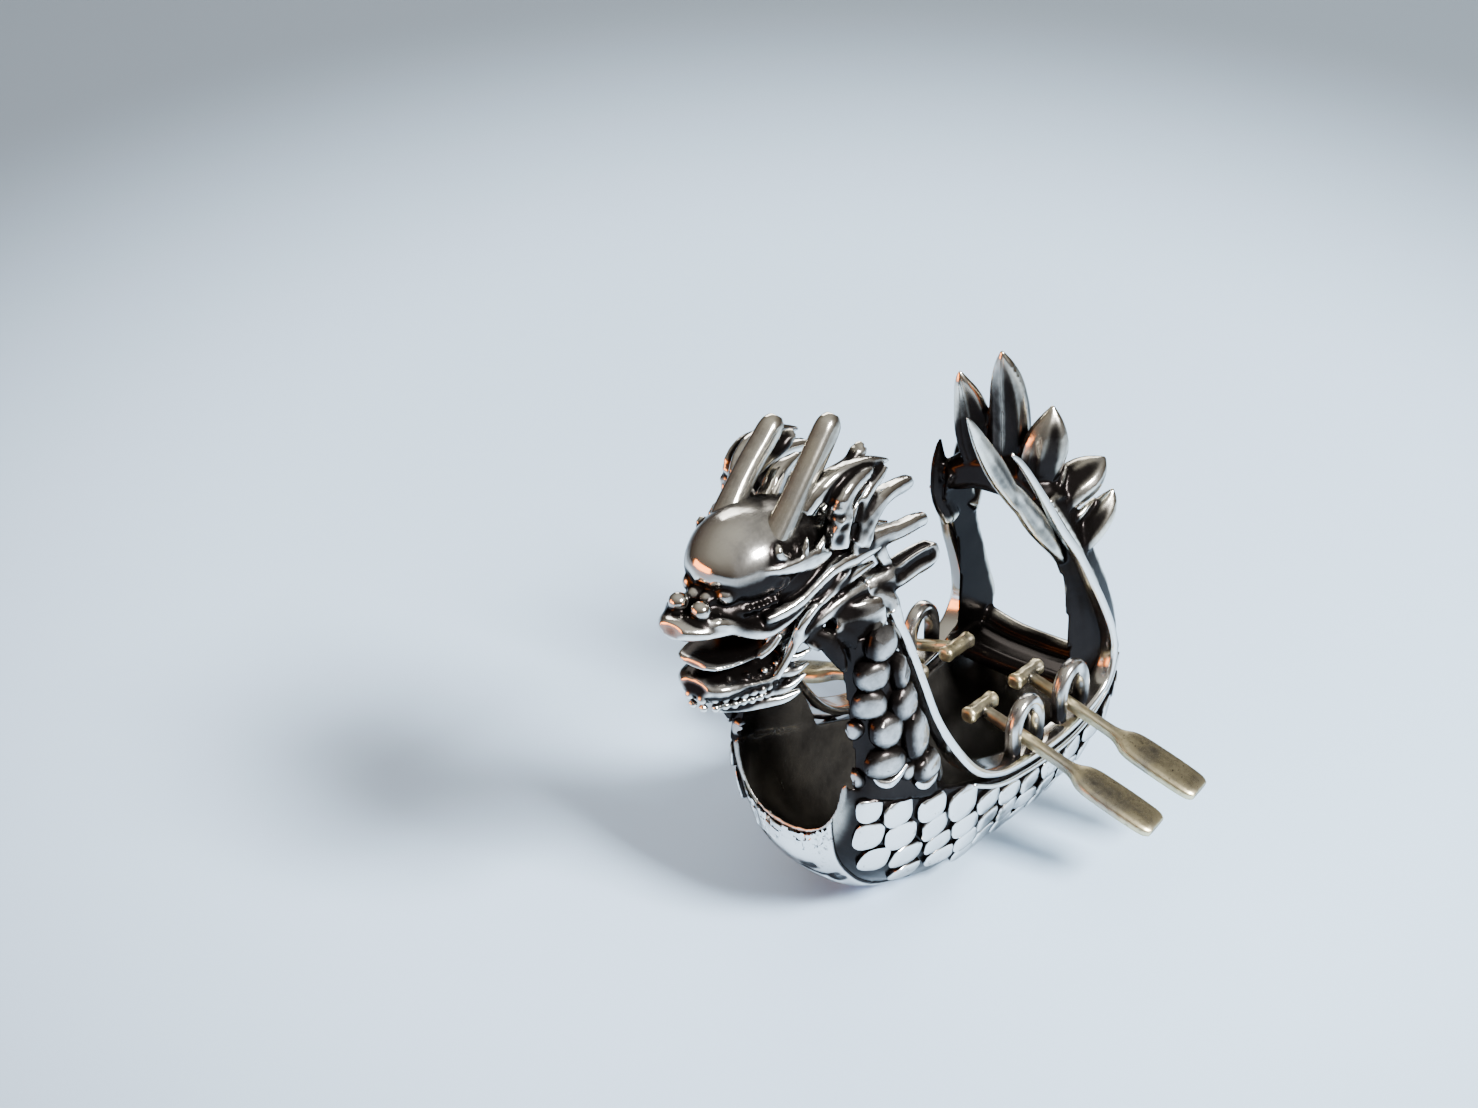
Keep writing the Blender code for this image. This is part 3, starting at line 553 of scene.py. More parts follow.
def makeOutwardLoose(obj):
    useOnly(obj)
    bpy.ops.object.mode_set(mode="EDIT")
    bpy.ops.mesh.select_all(action="SELECT")
    bpy.ops.mesh.normals_make_consistent(inside=False)
    bpy.ops.object.mode_set(mode="OBJECT")


print("scales")
finishPiece(spreadScales("scales"), "scales", scaleSilver, sharp=50)


bellyShape = {
    # where each plate starts and ends, half width
    "plates": (
        (-6.58, -3.5, 1.9, 1.3), (-3.3, -1.85, 1.3, 1.15), (-1.65, -0.3, 1.1, 1.0), (-0.1, 1.2, 1.0, 0.95),
        (1.4, 2.7, 0.95, 0.95), (2.9, 4.2, 0.95, 0.95), (4.4, 5.6, 0.95, 0.9), (5.8, 6.9, 0.9, 0.85), (7.1, 8.0, 0.8, 0.7),
    ),
    "height": 0.13,
    # engraved clouds on the first plate: points along it (0 to 1) and across it (-1 to 1)
    "clouds": (
        ((0.12, -0.75), (0.2, -0.55), (0.3, -0.5)),
        ((0.3, -0.05), (0.36, 0.25), (0.42, 0.5), (0.4, 0.72)),
        ((0.42, 0.45), (0.52, 0.6), (0.5, 0.78)),
        ((0.22, 0.1), (0.2, 0.35)),
        ((0.62, -0.5), (0.7, -0.2), (0.72, 0.15)),
        ((0.85, -0.3), (0.8, 0.1)),
    ),
}


def nearLine(t, b, line, half, length):
    least = 9.0
    for (t0, b0), (t1, b1) in zip(line, line[1:]):
        ax, ay = (t - t0) * length, (b - b0) * half
        dx, dy = (t1 - t0) * length, (b1 - b0) * half
        k = max(0, min(1, (ax * dx + ay * dy) / (dx * dx + dy * dy)))
        least = min(least, math.hypot(ax - k * dx, ay - k * dy))
    return least


def drawBelly():
    pieces = []
    for k, (front, back, halfFront, halfBack) in enumerate(bellyShape["plates"]):
        deselectAll()
        cuts = 60 if k == 0 else 24
        bpy.ops.mesh.primitive_grid_add(x_subdivisions=cuts, y_subdivisions=cuts, size=2)
        plate = bpy.context.object
        bpy.ops.object.mode_set(mode="EDIT")
        bpy.ops.mesh.select_all(action="SELECT")
        bpy.ops.mesh.extrude_region_move(TRANSFORM_OT_translate={"value": (0, 0, 1)})
        bpy.ops.object.mode_set(mode="OBJECT")
        points = readPoints(plate)
        wear = np.zeros(len(points))
        length = back - front
        for j, (a, b, h) in enumerate(points):
            t = (a + 1) / 2
            half = halfFront + (halfBack - halfFront) * t
            x = front + length * (t**1.7 if k == 0 else t) + (0.3 * (1 - b * b) * (t if k == 0 else 1))
            near, out, _, _ = skinTree.ray_cast(Vector((x, b * half, -9)), Vector((0, 0, 1)))
            if near is None:
                near, out = onSkin((x, b * half, 4.0))
            lift = -0.04
            edge = min(1, (1 - abs(b)) * half / 0.13, t * length / 0.1, (1 - t) * length / 0.13)
            if h > 0.5:
                lift = bellyShape["height"] * min(1, 0.3 + 0.7 * edge)
                wear[j] = min(1, 0.25 + edge)
                if k == 0:
                    for line in bellyShape["clouds"]:
                        away = nearLine(t**1.7, -b, line, half, length)
                        cut = math.exp(-((away / 0.15) ** 2))
                        lift -= 0.09 * cut
                        wear[j] = min(wear[j], 1 - 1.05 * cut)
            points[j] = near + out * lift
        points[:, 2] = np.maximum(points[:, 2], 0.01)
        writePoints(plate, points)
        setAttribute(plate, "wear", np.clip(wear, 0, 1))
        pieces.append(plate)
    useOnly(*pieces)
    bpy.ops.object.join()
    makeOutwardLoose(pieces[0])
    return pieces[0]


print("belly")
finishPiece(drawBelly(), "belly_plates", scaleSilver, sharp=60)


gunwaleShape = {
    # x, distance from the middle, z, half width across the boat, half height
    "rows": (
        (-4.95, 2.75, 13.5, 0.22, 0.2), (-4.75, 2.76, 13.1, 0.24, 0.2), (-4.2, 2.88, 11.9, 0.27, 0.2),
        (-3.55, 3.02, 10.2, 0.3, 0.2), (-2.85, 3.18, 8.4, 0.34, 0.2), (-1.85, 3.28, 6.75, 0.5, 0.2),
        (-0.75, 3.28, 5.55, 0.62, 0.2), (0.6, 3.26, 4.87, 0.62, 0.2), (2.0, 3.28, 4.5, 0.5, 0.2),
        (3.6, 3.3, 4.32, 0.42, 0.2), (5.2, 3.3, 4.36, 0.42, 0.2), (6.6, 3.3, 4.66, 0.42, 0.2),
        (7.6, 3.3, 5.17, 0.4, 0.2), (8.08, 3.3, 6.1, 0.34, 0.2), (7.95, 3.28, 7.1, 0.3, 0.2),
        (7.45, 3.18, 8.3, 0.27, 0.2), (6.9, 3.08, 9.35, 0.24, 0.2), (6.15, 2.88, 10.8, 0.2, 0.2),
        (5.26, 2.68, 12.1, 0.17, 0.19), (4.2, 2.48, 13.8, 0.13, 0.17), (3.15, 2.33, 15.3, 0.09, 0.13),
        (2.6, 2.25, 15.9, 0.03, 0.05),
    ),
    "starboardRows": 19,
    # the thin second edge below the strip, on the outside of the hull
    "under": (
        (-0.9, 3.62, 5.0, 0.08, 0.09), (0.5, 3.62, 4.3, 0.09, 0.1), (2.0, 3.62, 3.98, 0.1, 0.1),
        (4.0, 3.6, 3.82, 0.1, 0.1), (5.6, 3.6, 3.92, 0.1, 0.1), (7.0, 3.55, 4.3, 0.1, 0.1),
        (8.1, 3.45, 4.95, 0.09, 0.1), (8.75, 3.3, 5.8, 0.08, 0.09),
    ),
}


def drawGunwale(rows, sign):
    strip = drawForm([(x, sign * y, z, wide, thick) for x, y, z, wide, thick in rows], sides=16, rings=100, flat=0.55)
    # the top of the strip is pressed in along its middle
    points = readPoints(strip)
    normals = readNormals(strip)
    line = smoothRows([(x, sign * y, z) for x, y, z, _, _ in rows], 100)
    away = np.linalg.norm(points[:, None, :] - line[None], axis=2)
    near = line[np.argmin(away, axis=1)]
    offset = np.abs(points[:, 1] - near[:, 1])
    wide = np.interp(np.argmin(away, axis=1), np.linspace(0, 99, len(rows)), [row[3] for row in rows])
    up = np.einsum("ij,ij->i", points - near, normals) > 0.1
    sunk = np.where(up, 0.03 * np.clip(1 - offset / wide, 0, 1), 0)
    writePoints(strip, points - normals * sunk[:, None])
    return strip


print("gunwale")
rims = [drawGunwale(gunwaleShape["rows"], -1), drawGunwale(gunwaleShape["rows"][:gunwaleShape["starboardRows"]], 1)]
for sign in (-1, 1):
    rims.append(drawForm([(x, sign * y, z, w, t) for x, y, z, w, t in gunwaleShape["under"]], sides=10, rings=50))
useOnly(*rims)
bpy.ops.object.join()
gunwale = rims[0]
makeOutwardLoose(gunwale)
setAttribute(gunwale, "wear", np.full(len(gunwale.data.vertices), 0.8))
finishPiece(gunwale, "gunwale", rimSilver, replaces=bothSides("gunwale_fore", "gunwale_mid", "gunwale_aft"))


headShape = {
    "grain": 0.07,
    "middle": (
        ((-4.6, 0, 14.4, 1.4, 0.8), (-5.6, 0, 14.8, 1.9, 1.35), (-7.0, 0, 15.2, 2.0, 1.6), (-8.4, 0, 15.5, 1.7, 1.5), (-9.2, 0, 15.6, 1.3, 1.2)),
        ((-10.95, 0, 15.95, 0.35, 0.3), (-10.6, 0, 16.05, 1.05, 0.85), (-9.9, 0, 16.15, 1.5, 1.3), (-9.1, 0, 16.25, 1.72, 1.45), (-8.1, 0, 16.3, 1.75, 1.4), (-6.9, 0, 16.1, 1.6, 1.25), (-6.0, 0, 15.8, 1.3, 1.0)),
        ((-9.0, 0, 15.1, 1.35, 0.8), (-10.2, 0, 15.1, 1.15, 0.6), (-11.2, 0, 15.1, 0.85, 0.4)),
        ((-8.8, 0, 14.5, 1.45, 0.3), (-10.2, 0, 14.6, 1.35, 0.32), (-11.3, 0, 14.8, 1.15, 0.36), (-12.0, 0, 14.95, 0.9, 0.38), (-12.5, 0, 15.05, 0.5, 0.28)),
        ((-9.2, 0, 13.6, 1.1, 0.7), (-7.4, 0, 13.9, 1.6, 1.0), (-5.8, 0, 14.0, 2.0, 1.0), (-5.0, 0, 14.1, 1.9, 0.8)),
    ),
    "knobs": (
        (-10.55, -0.66, 15.72, 0.46, 0.38, 0.36), (-11.6, -0.45, 15.5, 0.34, 0.34, 0.34), (-11.0, -0.25, 15.6, 0.32, 0.3, 0.26),
        (-10.15, -1.15, 15.15, 0.17, 0.15, 0.15), (-9.85, -1.3, 15.15, 0.17, 0.15, 0.15), (-9.55, -1.4, 15.17, 0.17, 0.15, 0.15),
        (-9.25, -1.48, 15.22, 0.17, 0.15, 0.15), (-9.15, -1.55, 15.82, 0.2, 0.16, 0.2),
    ),
    "port": (
        # lip, cheek, brow leaf with its two hooks and two fingers, the ring round the eye
        ((-12.0, -0.3, 14.95, 0.3, 0.3), (-11.4, -0.8, 15.05, 0.34, 0.3), (-10.8, -1.05, 14.82, 0.3, 0.26), (-10.2, -1.25, 14.45, 0.28, 0.24), (-9.6, -1.4, 14.22, 0.27, 0.22), (-9.0, -1.5, 14.3, 0.25, 0.22), (-8.4, -1.65, 14.55, 0.22, 0.2), (-7.8, -1.8, 14.95, 0.16, 0.16)),
        ((-9.7, -1.4, 14.68, 0.2, 0.2), (-9.1, -1.62, 14.75, 0.24, 0.2), (-8.4, -1.82, 14.95, 0.24, 0.2), (-7.75, -1.95, 15.32, 0.24, 0.22), (-7.0, -2.08, 15.65, 0.27, 0.24), (-5.95, -2.18, 15.62, 0.29, 0.24), (-4.75, -2.25, 15.66, 0.2, 0.18), (-4.4, -2.25, 15.75, 0.08, 0.08)),
        ((-9.75, -1.5, 16.42, 0.1, 0.08), (-9.2, -1.68, 16.35, 0.22, 0.16), (-8.5, -1.82, 16.3, 0.36, 0.2), (-7.85, -1.92, 16.25, 0.42, 0.2), (-7.3, -1.98, 16.2, 0.22, 0.16), (-7.0, -1.95, 16.15, 0.08, 0.08)),
        ((-8.35, -1.8, 16.4, 0.2, 0.16), (-8.25, -1.86, 16.75, 0.15, 0.13), (-8.1, -1.82, 17.1, 0.06, 0.06)),
        ((-7.75, -1.9, 16.4, 0.2, 0.16), (-7.5, -1.94, 16.65, 0.14, 0.12), (-7.3, -1.9, 16.85, 0.06, 0.06)),
        ((-8.9, -1.66, 16.5, 0.2, 0.14), (-9.2, -1.6, 16.85, 0.16, 0.12), (-9.1, -1.55, 17.1, 0.08, 0.07)),
        ((-9.6, -1.38, 15.9, 0.09, 0.09), (-9.35, -1.5, 16.15, 0.1, 0.1), (-9.0, -1.6, 16.1, 0.1, 0.1), (-8.8, -1.66, 15.85, 0.1, 0.1), (-8.95, -1.6, 15.6, 0.09, 0.09), (-9.25, -1.5, 15.5, 0.07, 0.07)),
        # the smooth ridge behind the mouth, the long ridge up to the nape, and the ribs between them
        ((-9.1, -1.35, 12.3, 0.2, 0.2), (-8.75, -1.5, 12.85, 0.2, 0.2), (-8.4, -1.62, 13.4, 0.22, 0.2), (-8.25, -1.75, 14.0, 0.22, 0.2), (-7.6, -1.85, 14.5, 0.2, 0.18)),
        ((-8.65, -1.5, 13.05, 0.16, 0.16), (-8.1, -1.72, 13.6, 0.24, 0.22), (-7.2, -1.95, 14.05, 0.3, 0.25), (-6.3, -2.12, 14.3, 0.32, 0.26), (-4.9, -2.3, 14.35, 0.3, 0.26)),
        ((-8.0, -1.75, 14.2, 0.16, 0.16), (-7.0, -1.95, 14.7, 0.2, 0.18), (-6.0, -2.1, 14.95, 0.2, 0.18), (-5.1, -2.2, 15.05, 0.12, 0.12)),
        ((-7.2, -1.9, 14.6, 0.14, 0.14), (-6.7, -2.05, 15.0, 0.16, 0.15), (-6.3, -2.15, 15.3, 0.12, 0.12)),
        # the dark ragged mass of the throat
        ((-7.9, -1.6, 13.5, 0.35, 0.3), (-7.4, -2.0, 13.2, 0.4, 0.32), (-7.1, -2.25, 12.6, 0.34, 0.28), (-6.85, -2.35, 12.05, 0.2, 0.2), (-6.75, -2.4, 11.8, 0.07, 0.07)),
        ((-7.0, -2.0, 13.5, 0.45, 0.4), (-6.5, -2.3, 13.1, 0.42, 0.36), (-6.3, -2.45, 12.6, 0.25, 0.25)),
        ((-7.9, -1.6, 13.4, 0.22, 0.2), (-7.9, -1.95, 13.15, 0.14, 0.14), (-7.75, -2.15, 12.95, 0.06, 0.06)),
        ((-6.9, -1.9, 13.4, 0.9, 0.5), (-5.9, -2.4, 13.4, 1.0, 0.5), (-5.2, -2.55, 13.5, 0.7, 0.4)),
    ),
    "horn": ((-9.0, -0.85, 16.5, 0.62, 0.6), (-8.55, -1.0, 17.1, 0.52, 0.48), (-8.0, -1.08, 17.8, 0.48, 0.42), (-7.3, -1.12, 18.65, 0.48, 0.4), (-6.6, -1.12, 19.45, 0.48, 0.4), (-6.15, -1.12, 20.0, 0.44, 0.37), (-5.95, -1.12, 20.25, 0.22, 0.2)),
    "hornBranch": ((-7.2, -1.2, 18.2, 0.34, 0.3), (-6.2, -1.35, 18.3, 0.32, 0.28), (-5.4, -1.4, 18.4, 0.3, 0.26), (-4.95, -1.4, 18.75, 0.3, 0.27), (-4.95, -1.4, 18.95, 0.14, 0.13)),
    "mane": (
        ((-7.7, -1.4, 17.6, 0.2, 0.2), (-7.2, -1.6, 18.2, 0.26, 0.22), (-6.55, -1.72, 18.5, 0.27, 0.22), (-5.8, -1.8, 18.55, 0.25, 0.2), (-4.9, -1.82, 18.4, 0.2, 0.17), (-3.95, -1.82, 18.12, 0.06, 0.06)),
        ((-6.7, -1.9, 16.5, 0.55, 0.35), (-6.85, -2.08, 17.3, 0.42, 0.3), (-6.75, -2.12, 17.95, 0.33, 0.27), (-6.2, -2.12, 18.3, 0.27, 0.24), (-5.5, -2.08, 18.35, 0.2, 0.18), (-5.0, -2.0, 18.3, 0.07, 0.07)),
        ((-6.2, -2.05, 16.9, 0.35, 0.28), (-5.9, -2.12, 17.4, 0.26, 0.22), (-5.4, -2.12, 17.8, 0.23, 0.2), (-4.85, -2.1, 18.0, 0.18, 0.16), (-4.4, -2.1, 18.15, 0.06, 0.06)),
        ((-6.0, -1.95, 16.2, 0.6, 0.4), (-5.6, -2.15, 16.85, 0.46, 0.32), (-4.95, -2.2, 17.22, 0.3, 0.26), (-4.3, -2.2, 17.3, 0.25, 0.22), (-3.6, -2.15, 17.22, 0.24, 0.2), (-3.2, -2.1, 17.15, 0.2, 0.18)),
        ((-6.2, -1.9, 15.8, 0.5, 0.35), (-5.3, -2.05, 15.8, 0.4, 0.3), (-4.5, -2.12, 15.76, 0.3, 0.25), (-3.8, -2.2, 15.68, 0.26, 0.22), (-3.0, -2.2, 15.62, 0.25, 0.2), (-2.4, -2.2, 15.52, 0.2, 0.17)),
        ((-5.6, -2.1, 14.2, 0.45, 0.35), (-4.9, -2.3, 14.3, 0.42, 0.34), (-4.2, -2.45, 14.38, 0.42, 0.34), (-3.4, -2.5, 14.45, 0.42, 0.32), (-2.6, -2.48, 14.38, 0.4, 0.3), (-2.25, -2.42, 14.3, 0.32, 0.26)),
        ((-5.3, -2.3, 14.1, 0.4, 0.32), (-4.85, -2.6, 13.7, 0.32, 0.28), (-4.75, -2.72, 13.3, 0.27, 0.24), (-4.5, -2.78, 12.7, 0.2, 0.2)),
        ((-4.9, -2.2, 15.5, 0.22, 0.2), (-4.7, -2.3, 15.0, 0.2, 0.18), (-4.4, -2.38, 14.6, 0.2, 0.18)),
        ((-7.0, -0.7, 17.0, 0.4, 0.3), (-6.2, -0.8, 17.7, 0.3, 0.24), (-5.2, -0.8, 18.0, 0.1, 0.1)),
        ((-6.0, -0.7, 16.6, 0.4, 0.3), (-5.0, -0.9, 17.0, 0.3, 0.24), (-3.9, -0.9, 17.0, 0.1, 0.1)),
        ((-5.4, -1.0, 15.4, 0.5, 0.35), (-4.2, -1.2, 15.5, 0.34, 0.26), (-3.1, -1.2, 15.3, 0.1, 0.1)),
    ),
    "maneFull": 1.32,
    # grooves cut into the mane and the horns: points, width, depth
    "maneGrooves": (
        (((-4.4, -2.75, 14.5), (-3.4, -2.82, 14.6), (-2.6, -2.8, 14.5)), 0.22, 0.2),
        (((-4.4, -2.45, 14.78), (-3.4, -2.5, 14.85), (-2.6, -2.48, 14.75)), 0.16, 0.14),
        (((-6.3, -2.3, 16.4), (-6.2, -2.35, 17.0), (-6.0, -2.35, 17.5)), 0.13, 0.14),
        (((-5.7, -2.3, 16.2), (-5.2, -2.35, 16.6)), 0.12, 0.1),
    ),
    # x, y, z, reach, how much of the wear is kept: above 1 it is brighter, a painted highlight on the dome of the
    # forehead and the brow; below 1 darker under the brow, round the eye and in the mouth, and painted shade on the
    # throat under the head
    "faceShade": (
        (-9.6, 0.9, 17.4, 1.7, 1.35), (-10.7, 0.2, 16.6, 0.9, 1.5),
        (-10.1, 1.2, 15.3, 1.1, 0.15), (-9.4, 1.6, 15.6, 0.8, 0.25), (-11.2, 0.4, 15.2, 0.6, 0.3), (-10.0, 0.4, 13.9, 0.9, 0.0),
        (-7.2, 2.3, 12.6, 1.0, 0.25), (-6.4, 2.4, 13.0, 0.8, 0.3), (-7.6, 1.9, 13.4, 0.6, 0.4), (-6.6, 2.0, 14.8, 0.5, 0.5),
    ),
}


print("head")
headForms = [drawForm(rows, sides=44, rings=34) for rows in headShape["middle"]]
portForms = [drawForm(rows, sides=10, rings=14, across=(0, 0, 1)) for rows in headShape["port"]]
portForms += [drawKnob(knob[:3], knob[3:]) for knob in headShape["knobs"]]
head = castTogether("head", headForms + portForms + mirrorOver(portForms), headShape["grain"], 3)
markWear(head, gain=8.0, offset=0.36)
shade(head, bothShades(headShape["faceShade"]))
finishPiece(head, "dragon_head", headSilver, replaces=("skull", "nose", "throat"))

portHorn = [
    drawForm(headShape["horn"], sides=16, rings=18, across=(0.9, 0, -0.4), flat=0.88),
    drawForm(headShape["hornBranch"], sides=12, rings=12, across=(0, 0, 1)),
]
starboardHorn = mirrorOver(portHorn)
for side, forms, lower in (("port", portHorn, 0.0), ("starboard", starboardHorn, 0.72)):
    for form in forms:
        points = readPoints(form)
        points[:, 2] -= lower * np.clip((points[:, 2] - 17.3) / 2.9, 0, 1)
        writePoints(form, points)
    horn = castTogether(f"horn_{side}", forms, 0.055, 2)
    sign = -1 if side == "port" else 1
    for shift in (0.0, 0.28):
        groove = [(-8.0 + shift, sign * 1.55, 17.5), (-7.2 + shift, sign * 1.55, 18.4), (-6.6 + shift, sign * 1.55, 19.1)]
        carve(horn, groove, 0.07, 0.05)
    markWear(horn, gain=6.0, offset=0.5)
    shade(horn, bothShades(((-5.6, 1.4, 18.4, 0.9, 0.35),)))
    finishPiece(horn, f"dragon_horn_{side}", tailSilver, replaces=(f"horn_{side}",))

print("mane")
maneForms = []
for rows in headShape["mane"]:
    thicker = [(x, y, z, wide * headShape["maneFull"], thick * headShape["maneFull"]) for x, y, z, wide, thick in rows]
    maneForms.append(drawForm(thicker, sides=10, rings=14, across=(0, 0, 1)))
mane = castTogether("mane", maneForms + mirrorOver(maneForms), headShape["grain"], 2)
for line, width, depth in headShape["maneGrooves"]:
    for sign in (1, -1):
        carve(mane, [(x, y * sign, z) for x, y, z in line], width, depth)
markWear(mane, gain=6.5, offset=0.31)
finishPiece(mane, "dragon_mane", headSilver, replaces=bothSides("mane_upper", "mane_middle", "mane_lower", "mane_nape"))


jawShape = {
    "grain": 0.06,
    "middle": (
        ((-8.2, 0, 12.5, 1.3, 0.4), (-9.6, 0, 12.4, 1.3, 0.42), (-10.9, 0, 12.45, 1.05, 0.4), (-11.4, 0, 12.5, 0.6, 0.28)),
        ((-8.0, 0, 13.25, 1.2, 0.17), (-9.8, 0, 13.28, 1.2, 0.17), (-11.1, 0, 13.35, 0.9, 0.17), (-11.45, 0, 13.4, 0.55, 0.13)),
        ((-7.6, 0, 13.0, 1.3, 0.8), (-8.5, 0, 13.0, 1.2, 0.8)),
        ((-8.2, 0, 11.9, 0.9, 0.4), (-9.4, 0, 11.75, 0.9, 0.4), (-10.6, 0, 11.85, 0.6, 0.28)),
    ),
    "side": (
        # the bright rim of the jaw, then the curls and barbs behind it
        ((-11.3, -0.2, 12.5, 0.09, 0.12), (-10.9, -0.75, 12.48, 0.1, 0.12), (-10.1, -1.15, 12.44, 0.1, 0.12), (-9.3, -1.38, 12.35, 0.1, 0.12), (-8.7, -1.5, 12.45, 0.12, 0.12), (-8.4, -1.6, 12.75, 0.1, 0.1)),
        ((-10.6, -0.3, 11.55, 0.22, 0.22), (-9.8, -0.75, 11.4, 0.24, 0.22), (-9.0, -1.1, 11.3, 0.22, 0.2), (-8.5, -1.35, 11.3, 0.2, 0.18), (-8.05, -1.6, 11.45, 0.08, 0.08)),
        ((-9.2, -1.2, 11.85, 0.24, 0.22), (-8.6, -1.5, 11.8, 0.18, 0.17), (-8.0, -1.75, 12.1, 0.08, 0.08)),
        ((-8.9, -1.4, 12.4, 0.2, 0.18), (-8.4, -1.65, 12.35, 0.16, 0.14), (-7.95, -1.8, 12.5, 0.07, 0.07)),
        ((-8.7, -1.5, 12.9, 0.18, 0.16), (-8.3, -1.75, 12.9, 0.14, 0.13), (-7.9, -1.9, 13.05, 0.06, 0.06)),
        ((-9.7, -1.15, 13.3, 0.14, 0.2), (-9.3, -1.3, 13.5, 0.14, 0.2), (-8.9, -1.4, 13.85, 0.13, 0.16)),
    ),
    "teeth": 11,
}


def jawKnobs():
    # the knobbly rim of the lower jaw and of the beard, from the tip round to the corner of the mouth
    knobs = []
    for k in range(jawShape["teeth"]):
        t = k / (jawShape["teeth"] - 1)
        x = -11.35 + 2.8 * t
        y = -(0.25 + 1.1 * min(1, t * 1.6) ** 0.7)
        knobs.append(drawKnob((x, y, 12.12 + 0.03 * (k % 2)), (0.15, 0.17, 0.17)))
        knobs.append(drawKnob((x + 0.12, y * 0.86, 11.75 - 0.03 * (k % 2)), (0.15, 0.17, 0.16)))
        if k % 2 == 0:
            knobs.append(drawKnob((x + 0.2, y * 0.95, 12.72), (0.14, 0.13, 0.1)))
    return knobs


print("jaw")
jawForms = [drawForm(rows, sides=16, rings=10) for rows in jawShape["middle"]]
jawSide = [drawForm(rows, sides=10, rings=10, across=(0, 0, 1)) for rows in jawShape["side"]] + jawKnobs()
jaw = castTogether("jaw", jawForms + jawSide + mirrorOver(jawSide), jawShape["grain"], 1)
markWear(jaw, gain=6.0, offset=0.28)
shade(jaw, bothShades(((-9.9, 0.6, 12.9, 0.9, 0.3),)))
finishPiece(jaw, "dragon_jaw", headSilver, replaces=("lower_jaw", "tongue", "beard"))


